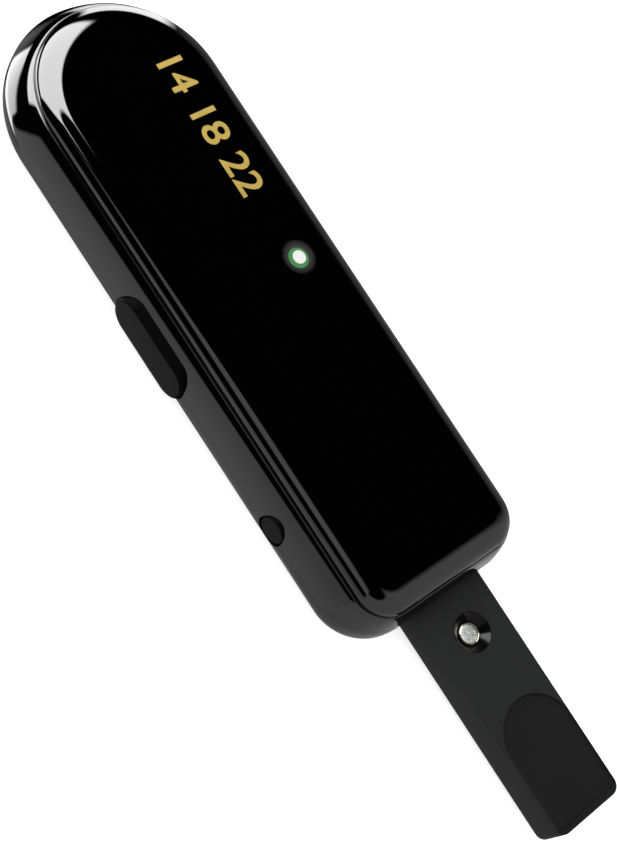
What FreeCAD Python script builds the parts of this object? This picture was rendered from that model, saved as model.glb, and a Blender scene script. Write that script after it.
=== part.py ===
"""Electronic gold tester: a hand-held case with two side buttons, a status light and a sliding test arm.

Millimetres. The case lies on its flat back: +Z is the front panel's side, +Y the full-round end, and the
test arm slides out of the squared end along -Y. The origin is the middle of the case's back.
"""
import FreeCAD, Part
import math
import os

import Sketcher

doc = FreeCAD.newDocument("gold_tester")
sheet = doc.addObject("Spreadsheet::Sheet", "Sizes")

DRIVING_SIZES = [
    # case
    ("body_length", 96.0, "case, from the squared end to the top of the round end"),
    ("body_width", 33.2, "case, across its widest line"),
    ("seam_height", 9.5, "rear shell, from the back to the seam of the front panel"),
    ("back_round", 4.3, "radius of the rear shell's back edge"),
    ("end_corner", 8.0, "corner radius of the squared end, at the widest line"),
    ("shoulder_inset", 2.8, "how far the shoulder draws in to the seam, at the sides"),
    ("end_inset", 1.3, "how far the shoulder draws in to the seam, at the squared end"),
    ("shoulder_drop", 4.4, "height of the shoulder's curve below the seam"),
    ("seam_corner", 5.0, "corner radius of the squared end, at the seam"),
    ("floor_wall", 1.5, "thickness of the rear shell's floor"),
    ("rim_wall", 1.1, "width of the rim that the front panel stands on"),
    # front panel
    ("panel_rise", 2.0, "front panel, above the seam"),
    ("panel_land", 0.1, "upright land under the panel's rolled edge"),
    ("panel_plate", 1.4, "thickness of the panel's plate"),
    ("panel_skirt", 2.4, "thickness of the panel's rolled edge"),
    ("seam_gap", 0.12, "setback of the panel from the seam"),
    ("lip_drop", 0.6, "locating lip, below the seam"),
    ("lip_gap", 0.15, "clearance of the lip in the rear shell"),
    # status light
    ("light_across", 6.6, "status light, right of the centre line"),
    ("light_along", 0.8, "status light, from the middle towards the round end"),
    ("light_wide", 3.0, "diameter of the light pipe"),
    ("light_dome", 0.45, "height of the light pipe's dome"),
    ("light_flange", 0.5, "width and thickness of the light pipe's flange"),
    ("fit_gap", 0.03, "clearance of a piece that is pushed into its seat"),
    # test arm
    ("arm_margin", 6.55, "test arm, from the case's inner side walls"),
    ("arm_drop", 2.7, "front of the test arm, below the seam"),
    ("arm_lift", 0.3, "test arm, above the rear shell's floor"),
    ("arm_out", 34.7, "test arm, outside the case when it is drawn out"),
    ("arm_in", 24.0, "test arm, inside the case when it is drawn out"),
    ("arm_travel", 15.5, "how far the test arm slides in"),
    ("slide_gap", 0.15, "clearance all round the sliding arm"),
    ("tip_corner", 1.2, "corner radius of the arm's tip"),
    ("arm_wall", 1.2, "side wall of the hollow arm"),
    ("arm_plate", 1.4, "top plate of the hollow arm"),
    ("cover_thick", 1.0, "cover under the arm"),
    ("cover_rebate", 0.6, "how far the cover is let into the arm's side walls"),
    ("cover_bite", 1.6, "depth of the cover's screws in their bosses"),
    ("scoop_out", 16.8, "start of the thumb scoop, from the case"),
    ("scoop_deep", 0.45, "depth of the thumb scoop at its middle"),
    ("scoop_edge", 0.3, "rim left beside the thumb scoop"),
    ("scoop_tip", 0.8, "rim left between the thumb scoop and the tip"),
    ("scoop_bow", 60.0, "radius of the thumb scoop's hollow"),
    # test well
    ("well_out", 6.15, "centre of the test well, from the case"),
    ("well_mouth", 5.7, "diameter of the well at the arm's surface"),
    ("well_foot", 3.5, "diameter of the well's cone at its foot"),
    ("well_deep", 1.0, "depth of the well's cone"),
    ("well_lip", 0.08, "thickness of the well cup at its mouth"),
    ("well_flange", 0.9, "well cup's flange under the arm's plate, beyond the mouth"),
    ("flange_thick", 0.8, "thickness of the flanges that hold pieces behind a wall"),
    ("contact_wide", 2.6, "diameter of the test contact"),
    ("contact_sink", 0.05, "face of the test contact, below the foot of the cone"),
    ("contact_long", 1.6, "length of the test contact"),
    ("ring_wall", 0.22, "wall of the bright ring round the contact"),
    ("ring_stand", 0.12, "height of the bright ring above the foot of the cone"),
    # arm's conductors
    ("lead_wide", 1.6, "width of the lead strip inside the arm"),
    ("strip_thick", 0.25, "thickness of the stamped metal strips"),
    ("track_wide", 4.0, "width of the contact track on the arm"),
    ("track_from_end", 1.0, "contact track, from the arm's inner end"),
    ("track_deep", 0.15, "thickness of the contact track"),
    # guides
    ("rail_wall", 1.0, "wall of the arm's guide rails"),
    ("rail_lip", 0.9, "overhang of the rails over the arm"),
    ("rail_roof", 0.45, "thickness of the rails' overhang"),
    ("stop_wide", 2.0, "diameter of the stop pin"),
    ("stop_from_end", 3.0, "stop pin, from the arm's inner end when it is drawn out"),
    ("stop_sink", 0.9, "depth of the stop pin in the floor"),
    ("pad_long", 8.0, "length of the drag pad under the arm"),
    ("pad_wide", 6.0, "width of the drag pad"),
    ("pad_gap", 0.03, "clearance between the drag pad and the arm"),
    # side buttons
    ("button_gap", 0.12, "clearance of a button in its window"),
    ("button_round", 0.5, "edge radius of the buttons' faces"),
    ("button_ear", 0.8, "length of the ears that hold a button in, at each end"),
    ("ear_narrow", 0.6, "ears of a button, within its cap's long edges"),
    ("rest_gap", 0.05, "clearance behind a wall that a released button rests on"),
    ("long_button_long", 15.4, "length of the long button"),
    ("long_button_wide", 6.0, "width of the long button"),
    ("long_button_back", 30.8, "middle of the long button, from the round end's centre"),
    ("long_button_proud", 0.4, "long button, beyond the widest line"),
    ("long_button_sink", 1.2, "top of the long button, under the panel's lip"),
    ("round_button_wide", 4.3, "diameter of the round button"),
    ("round_button_up", 19.7, "middle of the round button, from the squared end"),
    ("round_button_in", 0.23, "face of the round button, inside the widest line"),
    ("round_button_sink", 1.65, "top of the round button, under the panel's lip"),
    ("press_travel", 0.6, "room that the buttons have to travel"),
    # switches
    ("plunger_wide", 1.6, "diameter of the switches' plungers"),
    ("plunger_long", 1.9, "length of the switches' plungers"),
    ("plunger_seat", 0.5, "length of a plunger that stands in its switch at rest"),
    ("post_long", 0.7, "length of the post behind a button's ears"),
    ("switch_deep", 2.1, "switch, across the case"),
    ("switch_long", 5.0, "switch, along the case"),
    # board
    ("board_thick", 1.0, "thickness of the main board"),
    ("board_drop", 0.9, "top of the main board, below the seam"),
    ("board_gap", 0.4, "main board, from the side walls"),
    ("board_from_end", 8.0, "main board, from the squared end's inner wall"),
    ("board_over_cell", 3.0, "main board, over the coin cell's edge"),
    ("post_from_end", 3.2, "low posts, from the board's edge"),
    ("post_wide", 2.6, "diameter of the posts under the board"),
    ("board_screw_shank", 1.4, "diameter of the board screws' shanks"),
    ("board_screw_head", 2.6, "diameter of the board screws' heads"),
    ("board_screw_high", 0.7, "height of the board screws' heads"),
    ("board_screw_bite", 3.0, "depth of the board screws in their posts"),
    ("controller_side", 5.0, "side of the controller chip"),
    ("amplifier_side", 3.0, "side of the amplifier chip"),
    ("chip_thick", 0.9, "thickness of the chips"),
    ("diode_long", 1.6, "length of the light-emitting diode"),
    ("diode_wide", 1.0, "width of the light-emitting diode"),
    ("diode_thick", 0.6, "thickness of the light-emitting diode"),
    # coin cell and its door
    ("cell_wide", 20.0, "diameter of the coin cell"),
    ("cell_thick", 3.2, "thickness of the coin cell"),
    ("cell_back", 9.8, "centre of the coin cell, from the round end's centre"),
    ("cell_gap", 0.15, "clearance round the coin cell"),
    ("cell_lift", 0.15, "coin cell, above its door"),
    ("holder_wall", 1.8, "wall of the cell holder"),
    ("holder_roof", 0.8, "roof of the cell holder"),
    ("ledge_wide", 0.9, "width of the ledge that the door rests on"),
    ("ledge_thick", 0.9, "thickness of the ledge"),
    ("door_thick", 1.2, "thickness of the battery door"),
    ("door_margin", 1.1, "battery door, beyond the coin cell"),
    ("door_tab", 2.4, "battery door, beyond its screw"),
    ("door_boss_wide", 3.6, "diameter of the boss for the door's screw"),
    ("door_boss_cap", 0.8, "top of the door's boss, above its screw"),
    ("minus_across", 2.4, "tab of the negative contact, right of the centre line"),
    ("door_gap", 0.12, "clearance of the door in its opening"),
    ("door_corner", 1.5, "corner radius of the battery door"),
    # case screws
    ("screw_shank", 1.9, "diameter of the case screws' shanks"),
    ("screw_head", 3.4, "diameter of the case screws' heads"),
    ("screw_head_high", 1.2, "height of the case screws' heads"),
    ("screw_sink", 0.5, "depth of the screw heads below the back"),
    ("column_wide", 4.6, "diameter of the columns round the case screws"),
    ("column_drop", 3.6, "tops of the columns, below the seam"),
    ("column_from_end", 2.7, "low columns, from the end wall"),
    ("column_inset", 0.9, "top columns, from the wall of the round end"),
    ("top_screw_turn", 35.0, "degrees of the top screws either side of the centre line"),
    ("screw_short", 1.5, "tips of the case screws, below the panel's plate"),
    ("boss_wide", 4.2, "diameter of the front panel's bosses"),
    ("boss_gap", 0.1, "gap between a boss and its column"),
    ("recess_wide", 0.45, "width of the screws' cross recess"),
]
for row, (alias, value, meaning) in enumerate(DRIVING_SIZES, start=1):
    sheet.set(f"A{row}", meaning)
    sheet.set(f"B{row}", str(value))
    sheet.setAlias(f"B{row}", alias)
doc.recompute()

# Lines and levels that several pieces share, as expressions of the sizes above.
HALF_WIDTH = "(Sizes.body_width / 2)"
LOW_REACH = "(Sizes.body_length / 2)"
ROUND_CENTRE = "((Sizes.body_length - Sizes.body_width) / 2)"
SEAM_HALF = f"({HALF_WIDTH} - Sizes.shoulder_inset)"
SEAM_LOW = f"({LOW_REACH} - Sizes.end_inset)"
CAVITY_HALF = f"({SEAM_HALF} - Sizes.rim_wall)"
CAVITY_LOW = f"({SEAM_LOW} - Sizes.rim_wall)"
CAVITY_CORNER = "(Sizes.seam_corner - Sizes.rim_wall)"
PANEL_TOP = "(Sizes.seam_height + Sizes.panel_rise)"
PLATE_UNDER = f"({PANEL_TOP} - Sizes.panel_plate)"
BOARD_TOP = "(Sizes.seam_height - Sizes.board_drop)"
BOARD_UNDER = f"({BOARD_TOP} - Sizes.board_thick)"
LIP_UNDER = "(Sizes.seam_height - Sizes.lip_drop)"
LONG_BUTTON_Z = f"({LIP_UNDER} - Sizes.long_button_sink - Sizes.long_button_wide / 2)"
ROUND_BUTTON_Z = f"({LIP_UNDER} - Sizes.round_button_sink - Sizes.round_button_wide / 2)"
LONG_BUTTON_Y = f"({ROUND_CENTRE} - Sizes.long_button_back)"
ROUND_BUTTON_Y = f"(Sizes.round_button_up - {LOW_REACH})"
CELL_Y = f"({ROUND_CENTRE} - Sizes.cell_back)"
BOARD_LOW = f"(Sizes.board_from_end - {CAVITY_LOW})"
BOARD_HIGH = f"({CELL_Y} - Sizes.cell_wide / 2 + Sizes.board_over_cell)"
ARM_BACK = "(Sizes.floor_wall + Sizes.arm_lift)"
ARM_FRONT = "(Sizes.seam_height - Sizes.arm_drop)"
ARM_THICK = f"({ARM_FRONT} - {ARM_BACK})"
ARM_HALF = f"({CAVITY_HALF} - Sizes.arm_margin)"
ARM_WIDTH = f"(2 * {ARM_HALF})"
ARM_TIP = f"({LOW_REACH} + Sizes.arm_out)"
ARM_INNER = f"({LOW_REACH} - Sizes.arm_in)"
RAIL_END = f"({ARM_INNER} - Sizes.arm_travel - Sizes.slide_gap)"
RAIL_INSIDE = f"({ARM_HALF} + Sizes.slide_gap)"
RAIL_OUTSIDE = f"({RAIL_INSIDE} + Sizes.rail_wall)"
CAP_BACK = f"(-{CAVITY_HALF} + Sizes.rest_gap)"
EAR_BACK = f"({CAP_BACK} + Sizes.flange_thick)"
POST_BACK = f"({EAR_BACK} + Sizes.post_long)"
BOARD_LEFT = f"({POST_BACK} + Sizes.press_travel + Sizes.board_gap)"
BOARD_RIGHT = f"({CAVITY_HALF} - Sizes.board_gap)"
WELL_Y = f"(-{LOW_REACH} - Sizes.well_out)"
WELL_FOOT_Z = f"({ARM_FRONT} - Sizes.well_deep)"
PLATE_Z = f"({ARM_FRONT} - Sizes.arm_plate)"
PAST = "1"  # cuts run this far past the faces that they open


def number(expression):
    """The present value of an expression of the sheet's sizes."""
    return float(sheet.evalExpression(str(expression)))


# ---------------------------------------------------------------- building helpers
def new_body(label):
    body = doc.addObject("PartDesign::Body", label)
    body.Label = label
    return body


def new_sketch(body, label, role, offset="0"):
    """An empty sketch on one of the body's own origin planes, moved along the plane's normal."""
    sketch = body.newObject("Sketcher::SketchObject", label)
    plane = [feature for feature in body.Origin.OriginFeatures if feature.Role == role][0]
    sketch.AttachmentSupport = [(plane, "")]
    sketch.MapMode = "FlatFace"
    sketch.setExpression(".AttachmentOffset.Base.z", str(offset))
    return sketch


def hold(sketch, name, constraint, expression):
    """Adds a constraint of a size and binds it to the sheet."""
    index = sketch.addConstraint(constraint)
    sketch.renameConstraint(index, name)
    sketch.setExpression(f"Constraints.{name}", str(expression))


def place(sketch, name, kind, geometry, point, expression):
    """Holds a point's DistanceX or DistanceY from the sketch's origin, on either side of it."""
    distance = number(expression)
    if distance < 0:
        hold(sketch, name, Sketcher.Constraint(kind, geometry, point, -1, 1, -distance), f"-({expression})")
    else:
        hold(sketch, name, Sketcher.Constraint(kind, -1, 1, geometry, point, distance), expression)


def case_outline(sketch, half, low, corner):
    """Straight sides, a full-round end about ROUND_CENTRE and a squared end with two corners."""
    h, down, r, c = number(half), -number(low), number(corner), number(ROUND_CENTRE)
    up = FreeCAD.Vector(0, 0, 1)
    point = FreeCAD.Vector
    sketch.addGeometry([
        Part.ArcOfCircle(Part.Circle(point(0, c, 0), up, h), 0, math.pi),
        Part.LineSegment(point(-h, c, 0), point(-h, down + r, 0)),
        Part.ArcOfCircle(Part.Circle(point(r - h, down + r, 0), up, r), math.pi, 1.5 * math.pi),
        Part.LineSegment(point(r - h, down, 0), point(h - r, down, 0)),
        Part.ArcOfCircle(Part.Circle(point(h - r, down + r, 0), up, r), 1.5 * math.pi, 2 * math.pi),
        Part.LineSegment(point(h, down + r, 0), point(h, c, 0)),
    ], False)
    joints = [(0, 2, 1, 1), (1, 2, 2, 1), (2, 2, 3, 1), (3, 2, 4, 1), (4, 2, 5, 1), (5, 2, 0, 1)]
    sketch.addConstraint([Sketcher.Constraint("Tangent", *joint) for joint in joints])
    sketch.addConstraint([
        Sketcher.Constraint("Vertical", 1),
        Sketcher.Constraint("Equal", 2, 4),
        Sketcher.Constraint("PointOnObject", 0, 3, -2),
    ])
    hold(sketch, "half_width", Sketcher.Constraint("Radius", 0, h), half)
    hold(sketch, "corner", Sketcher.Constraint("Radius", 2, r), corner)
    place(sketch, "round_centre", "DistanceY", 0, 3, ROUND_CENTRE)
    place(sketch, "squared_end", "DistanceY", 3, 1, f"-({low})")


def pill(sketch, middle, level, length, width):
    """A slot shape that runs along the sketch's X, about (middle, level)."""
    x, y, r = number(middle), number(level), number(width) / 2
    half = number(length) / 2 - r
    up = FreeCAD.Vector(0, 0, 1)
    point = FreeCAD.Vector
    sketch.addGeometry([
        Part.ArcOfCircle(Part.Circle(point(x + half, y, 0), up, r), -math.pi / 2, math.pi / 2),
        Part.LineSegment(point(x + half, y + r, 0), point(x - half, y + r, 0)),
        Part.ArcOfCircle(Part.Circle(point(x - half, y, 0), up, r), math.pi / 2, 1.5 * math.pi),
        Part.LineSegment(point(x - half, y - r, 0), point(x + half, y - r, 0)),
    ], False)
    joints = [(0, 2, 1, 1), (1, 2, 2, 1), (2, 2, 3, 1), (3, 2, 0, 1)]
    sketch.addConstraint([Sketcher.Constraint("Tangent", *joint) for joint in joints])
    sketch.addConstraint(Sketcher.Constraint("Horizontal", 1))
    hold(sketch, "end_radius", Sketcher.Constraint("Radius", 0, r), f"({width}) / 2")
    place(sketch, "level", "DistanceY", 0, 3, level)
    place(sketch, "far_end", "DistanceX", 0, 3, f"{middle} + (({length}) - ({width})) / 2")
    hold(sketch, "straight", Sketcher.Constraint("DistanceX", 2, 3, 0, 3, 2 * half),
         f"({length}) - ({width})")


def disc(sketch, across, along, width):
    """One circle, its centre at (across, along)."""
    centre = FreeCAD.Vector(number(across), number(along), 0)
    sketch.addGeometry(Part.Circle(centre, FreeCAD.Vector(0, 0, 1), number(width) / 2), False)
    hold(sketch, "radius", Sketcher.Constraint("Radius", 0, number(width) / 2), f"({width}) / 2")
    place(sketch, "across", "DistanceX", 0, 3, across)
    place(sketch, "along", "DistanceY", 0, 3, along)


def rectangle(sketch, half, low, high):
    """A rectangle about the sketch's Y, from low to high."""
    h, bottom, top = number(half), number(low), number(high)
    corners = [FreeCAD.Vector(x, y, 0) for x, y in ((-h, bottom), (h, bottom), (h, top), (-h, top))]
    for start, end in zip(corners, corners[1:] + corners[:1]):
        sketch.addGeometry(Part.LineSegment(start, end), False)
    sketch.addConstraint([Sketcher.Constraint("Coincident", i, 2, (i + 1) % 4, 1) for i in range(4)])
    sketch.addConstraint([Sketcher.Constraint("Vertical", i) for i in (1, 3)])
    sketch.addConstraint(Sketcher.Constraint("Horizontal", 2))
    sketch.addConstraint(Sketcher.Constraint("Symmetric", 0, 1, 0, 2, -2))
    hold(sketch, "across", Sketcher.Constraint("DistanceX", 0, 1, 0, 2, 2 * h), f"2 * ({half})")
    place(sketch, "low_end", "DistanceY", 0, 1, low)
    place(sketch, "high_end", "DistanceY", 2, 1, high)


def grow(body, sketch, length, backwards=False):
    """Adds the sketch's area, drawn out along its normal or against it."""
    feature = body.newObject("PartDesign::Pad", f"{sketch.Name}_pad")
    feature.Profile = sketch
    feature.setExpression("Length", str(length))
    feature.Reversed = backwards
    return feature


def sink(body, sketch, depth, along_normal=False):
    """Cuts the sketch's area away, against its normal or along it."""
    feature = body.newObject("PartDesign::Pocket", f"{sketch.Name}_pocket")
    feature.Profile = sketch
    feature.setExpression("Length", str(depth))
    feature.Reversed = along_normal
    return feature


def round_edges(body, base, radius, wanted):
    """Rounds the edges of the base feature that the test 'wanted' picks by their bounding box."""
    doc.recompute()
    names = [f"Edge{i}" for i, edge in enumerate(base.Shape.Edges, start=1) if wanted(edge.BoundBox)]
    feature = body.newObject("PartDesign::Fillet", f"{base.Name}_round")
    feature.Base = (base, names)
    feature.setExpression("Radius", str(radius))
    return feature


def flat_at(level):
    """A test for edges that lie in the plane z = level."""
    height = number(level)
    return lambda extent: abs(extent.ZMin - height) < 1e-4 and abs(extent.ZMax - height) < 1e-4


def flat_across(place):
    """A test for edges that lie in the plane x = place."""
    across = number(place)
    return lambda extent: abs(extent.XMin - across) < 1e-4 and abs(extent.XMax - across) < 1e-4


def box(name, corner, size):
    """A block from its lowest corner; corner and size are three expressions each."""
    solid = doc.addObject("Part::Box", name)
    for side, expression in zip(("Length", "Width", "Height"), size):
        solid.setExpression(side, str(expression))
    for axis, expression in zip("xyz", corner):
        solid.setExpression(f".Placement.Base.{axis}", str(expression))
    return solid


def middle_box(name, middle_x, middle_y, foot, size):
    """A block centred on (middle_x, middle_y) that stands on foot."""
    length, width, height = size
    return box(name, (f"{middle_x} - ({length}) / 2", f"{middle_y} - ({width}) / 2", foot), size)


def cylinder(name, foot, width, height, lying=False):
    """A round rod from the centre of its foot, upright or lying along +X."""
    solid = doc.addObject("Part::Cylinder", name)
    solid.setExpression("Radius", f"({width}) / 2")
    solid.setExpression("Height", str(height))
    if lying:
        solid.Placement.Rotation = FreeCAD.Rotation(FreeCAD.Vector(0, 1, 0), 90)
    for axis, expression in zip("xyz", foot):
        solid.setExpression(f".Placement.Base.{axis}", str(expression))
    return solid


def fuse(label, pieces):
    joined = doc.addObject("Part::MultiFuse", label)
    joined.Label = label
    joined.Shapes = pieces
    joined.Refine = True
    return joined


def cut(label, base, tools):
    tool = tools[0] if len(tools) == 1 else fuse(f"{label}_cuts", tools)
    rest = doc.addObject("Part::Cut", label)
    rest.Label = label
    rest.Base = base
    rest.Tool = tool
    rest.Refine = True
    return rest


def group(label, pieces):
    together = doc.addObject("Part::Compound", label)
    together.Label = label
    together.Links = pieces
    return together


NODES = []


def node(piece, label):
    """Names a finished piece and puts it on the list of pieces to write."""
    piece.Label = label
    NODES.append(piece)
    return piece


RECESS_SHARE = 0.6  # length of a cross recess, as a share of its head


def screw(name, x, y, seat, head_wide, head_high, shank_wide, shank_long, head_up):
    """A cross-recess screw whose head stands on seat, pointing down, or up from the back of the case."""
    recess_deep = f"({head_high}) / 2"
    head_foot = seat if head_up else f"{seat} - {head_high}"
    shank_foot = f"{seat} - {shank_long}" if head_up else seat
    recess_foot = f"{seat} + {recess_deep}" if head_up else head_foot
    head = cylinder(f"{name}_head", (x, y, head_foot), head_wide, head_high)
    shank = cylinder(f"{name}_shank", (x, y, shank_foot), shank_wide, shank_long)
    blade = f"({head_wide}) * {RECESS_SHARE}"
    arms = [
        middle_box(f"{name}_slot_a", x, y, recess_foot, (blade, "Sizes.recess_wide", recess_deep)),
        middle_box(f"{name}_slot_b", x, y, recess_foot, ("Sizes.recess_wide", blade, recess_deep)),
    ]
    return cut(name, fuse(f"{name}_blank", [head, shank]), arms)


# ---------------------------------------------------------------- rear shell
# A deep tray with a rounded back edge. Above its widest line a shoulder curves in to the seam.
rear_body = new_body("rear_tray")
outer = new_sketch(rear_body, "rear_outline", "XY_Plane")
case_outline(outer, HALF_WIDTH, LOW_REACH, "Sizes.end_corner")
wall = grow(rear_body, outer, "Sizes.seam_height - Sizes.shoulder_drop")
STRAIGHT_WALL = "Sizes.seam_height - Sizes.shoulder_drop - Sizes.rest_gap"
round_edges(rear_body, wall, f"min(Sizes.back_round; {STRAIGHT_WALL})", flat_at("0"))

SHOULDER_STEPS = 6
sections = []
for step in range(SHOULDER_STEPS + 1):
    turn = math.pi / 2 * step / SHOULDER_STEPS
    drawn_in, risen = 1 - math.cos(turn), math.sin(turn)
    level = f"Sizes.seam_height - Sizes.shoulder_drop * {1 - risen:.6f}"
    section = new_sketch(rear_body, f"shoulder_{step}", "XY_Plane", level)
    case_outline(section,
                 f"{HALF_WIDTH} - Sizes.shoulder_inset * {drawn_in:.6f}",
                 f"{LOW_REACH} - Sizes.end_inset * {drawn_in:.6f}",
                 f"Sizes.end_corner + (Sizes.seam_corner - Sizes.end_corner) * {drawn_in:.6f}")
    sections.append(section)
shoulder = rear_body.newObject("PartDesign::AdditiveLoft", "shoulder")
shoulder.Profile = sections[0]
shoulder.Sections = sections[1:]
shoulder.Ruled = False
doc.recompute()

cavity = new_sketch(rear_body, "cavity_outline", "XY_Plane", "Sizes.seam_height")
case_outline(cavity, CAVITY_HALF, CAVITY_LOW, CAVITY_CORNER)
sink(rear_body, cavity, "Sizes.seam_height - Sizes.floor_wall")

# Case screws: two beside the arm, two in the round end. Columns stand round them on the floor.
COLUMN_X = f"({RAIL_OUTSIDE} + Sizes.slide_gap + Sizes.column_wide / 2)"
COLUMN_Y = f"(-{CAVITY_LOW} + Sizes.column_from_end + Sizes.column_wide / 2)"
TOP_REACH = f"({CAVITY_HALF} - Sizes.column_inset - Sizes.column_wide / 2)"
TOP_COLUMN_X = f"({TOP_REACH} * sin(Sizes.top_screw_turn))"
TOP_COLUMN_Y = f"({ROUND_CENTRE} + {TOP_REACH} * cos(Sizes.top_screw_turn))"
SCREW_PLACES = [
    ("left_low", f"(-{COLUMN_X})", COLUMN_Y),
    ("right_low", COLUMN_X, COLUMN_Y),
    ("left_top", f"(-{TOP_COLUMN_X})", TOP_COLUMN_Y),
    ("right_top", TOP_COLUMN_X, TOP_COLUMN_Y),
]
SEAT = "(Sizes.screw_sink + Sizes.screw_head_high)"
COLUMN_TOP = "(Sizes.seam_height - Sizes.column_drop)"
SCREW_END = f"({PLATE_UNDER} - Sizes.screw_short)"
columns = []
column_bores = []
for side, x, y in SCREW_PLACES:
    columns.append(cylinder(f"column_{side}", (x, y, "0"), "Sizes.column_wide", COLUMN_TOP))
    column_bores.append(cylinder(f"sink_{side}", (x, y, "0"),
                                 "Sizes.screw_head + 2 * Sizes.boss_gap", SEAT))
    column_bores.append(cylinder(f"bore_{side}", (x, y, "0"), "Sizes.screw_shank + 2 * Sizes.boss_gap",
                                 COLUMN_TOP))

# Posts carry the main board: two beside the rails, two between the arm's end and the coin cell.
HOLDER_LOW = f"({CELL_Y} - Sizes.cell_wide / 2 - Sizes.cell_gap - Sizes.holder_wall)"
POST_X = f"({RAIL_OUTSIDE} + Sizes.slide_gap + Sizes.post_wide / 2)"
LOW_POST_Y = f"({BOARD_LOW} + Sizes.post_from_end)"
HIGH_POST_Y = f"({HOLDER_LOW} - Sizes.post_wide / 2 - Sizes.door_gap)"
POST_PLACES = [
    ("left_low", f"(-{POST_X})", LOW_POST_Y),
    ("right_low", POST_X, LOW_POST_Y),
    ("left_high", f"(-{POST_X})", HIGH_POST_Y),
    ("right_high", POST_X, HIGH_POST_Y),
]
posts = []
post_bores = []
for side, x, y in POST_PLACES:
    posts.append(cylinder(f"post_{side}", (x, y, "Sizes.floor_wall / 2"), "Sizes.post_wide",
                          f"{BOARD_UNDER} - Sizes.floor_wall / 2"))
    post_bores.append(cylinder(f"post_bore_{side}", (x, y, f"{BOARD_UNDER} - Sizes.board_screw_bite"),
                               "Sizes.board_screw_shank", "Sizes.board_screw_bite"))

# The battery door's opening, with a ledge all round it on the inside.
DOOR_HALF = "(Sizes.cell_wide / 2 + Sizes.door_margin)"
DOOR_TOP = f"({CELL_Y} + {DOOR_HALF})"
DOOR_SCREW_Y = f"({HOLDER_LOW} - Sizes.door_boss_wide / 2 - Sizes.door_gap)"
DOOR_LOW = f"({DOOR_SCREW_Y} - Sizes.door_tab)"
LEDGE_TOP = "(Sizes.door_thick + Sizes.ledge_thick)"
HATCH_HALF = f"({DOOR_HALF} - Sizes.ledge_wide)"


def rounded_plate(label, grow_by, foot, height):
    """The battery door's outline, larger all round by grow_by, as a plate with rounded corners."""
    body = new_body(label)
    plate = new_sketch(body, f"{label}_outline", "XY_Plane", foot)
    rectangle(plate, f"{DOOR_HALF} + {grow_by}", f"{DOOR_LOW} - {grow_by}", f"{DOOR_TOP} + {grow_by}")
    block = grow(body, plate, height)
    upright = lambda extent: extent.ZLength > 1e-3
    round_edges(body, block, f"Sizes.door_corner + {grow_by}", upright)
    doc.recompute()
    return body


door_frame = rounded_plate("door_frame", "Sizes.ledge_wide", "Sizes.floor_wall / 2",
                           f"{LEDGE_TOP} - Sizes.floor_wall / 2")
door_opening = rounded_plate("door_opening", "Sizes.door_gap", "0", "Sizes.door_thick")
cell_hatch = cylinder("cell_hatch", ("0", CELL_Y, "0"), f"2 * {HATCH_HALF}", LEDGE_TOP)
door_boss = cylinder("door_boss", ("0", DOOR_SCREW_Y, "Sizes.door_thick"), "Sizes.door_boss_wide",
                     "Sizes.board_screw_bite + Sizes.door_boss_cap")
door_bore = cylinder("door_bore", ("0", DOOR_SCREW_Y, "Sizes.door_thick"), "Sizes.board_screw_shank",
                     "Sizes.board_screw_bite")

# The slot for the arm, the windows for the buttons and the seat of the stop pin.
STOP_Y = f"(-{ARM_INNER} - Sizes.stop_from_end)"
arm_slot = box("arm_slot",
               (f"-{ARM_HALF} - Sizes.slide_gap", f"-{LOW_REACH} - {PAST}", f"{ARM_BACK} - Sizes.slide_gap"),
               (f"{ARM_WIDTH} + 2 * Sizes.slide_gap", f"{LOW_REACH} - {CAVITY_LOW} + 2 * {PAST}",
                f"{ARM_THICK} + 2 * Sizes.slide_gap"))
window_body = new_body("long_window")
window = new_sketch(window_body, "long_window_outline", "YZ_Plane", f"-{HALF_WIDTH} - {PAST}")
pill(window, LONG_BUTTON_Y, LONG_BUTTON_Z, "Sizes.long_button_long + 2 * Sizes.button_gap",
     "Sizes.long_button_wide + 2 * Sizes.button_gap")
grow(window_body, window, f"{HALF_WIDTH} - {CAVITY_HALF} + 2 * {PAST}")
round_window = cylinder("round_window",
                        (f"-{HALF_WIDTH} - {PAST}", ROUND_BUTTON_Y, ROUND_BUTTON_Z),
                        "Sizes.round_button_wide + 2 * Sizes.button_gap",
                        f"{HALF_WIDTH} - {CAVITY_HALF} + 2 * {PAST}", lying=True)
stop_seat = cylinder("stop_seat", ("0", STOP_Y, "Sizes.floor_wall - Sizes.stop_sink"), "Sizes.stop_wide",
                     "Sizes.stop_sink")

rear_blank = fuse("rear_blank", [rear_body, door_frame, door_boss] + columns + posts)
rear_shell = cut("rear_shell", rear_blank, column_bores + post_bores
                 + [door_opening, cell_hatch, door_bore, arm_slot, window_body, round_window, stop_seat])
node(rear_shell, "rear_shell")

# ---------------------------------------------------------------- front panel
# A thick glossy plate with a rolled edge. Its lip drops into the shell, and four bosses take the screws.
panel_body = new_body("panel_plate_body")
lip = new_sketch(panel_body, "lip_outline", "XY_Plane", "Sizes.seam_height - Sizes.lip_drop")
case_outline(lip, f"{CAVITY_HALF} - Sizes.lip_gap", f"{CAVITY_LOW} - Sizes.lip_gap",
             f"{CAVITY_CORNER} - Sizes.lip_gap")
grow(panel_body, lip, "Sizes.lip_drop + Sizes.panel_land")
face = new_sketch(panel_body, "panel_outline", "XY_Plane", "Sizes.seam_height")
case_outline(face, f"{SEAM_HALF} - Sizes.seam_gap", f"{SEAM_LOW} - Sizes.seam_gap",
             "Sizes.seam_corner - Sizes.seam_gap")
plate_block = grow(panel_body, face, "Sizes.panel_rise")
round_edges(panel_body, plate_block, "Sizes.panel_rise - Sizes.panel_land", flat_at(PANEL_TOP))
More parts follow.
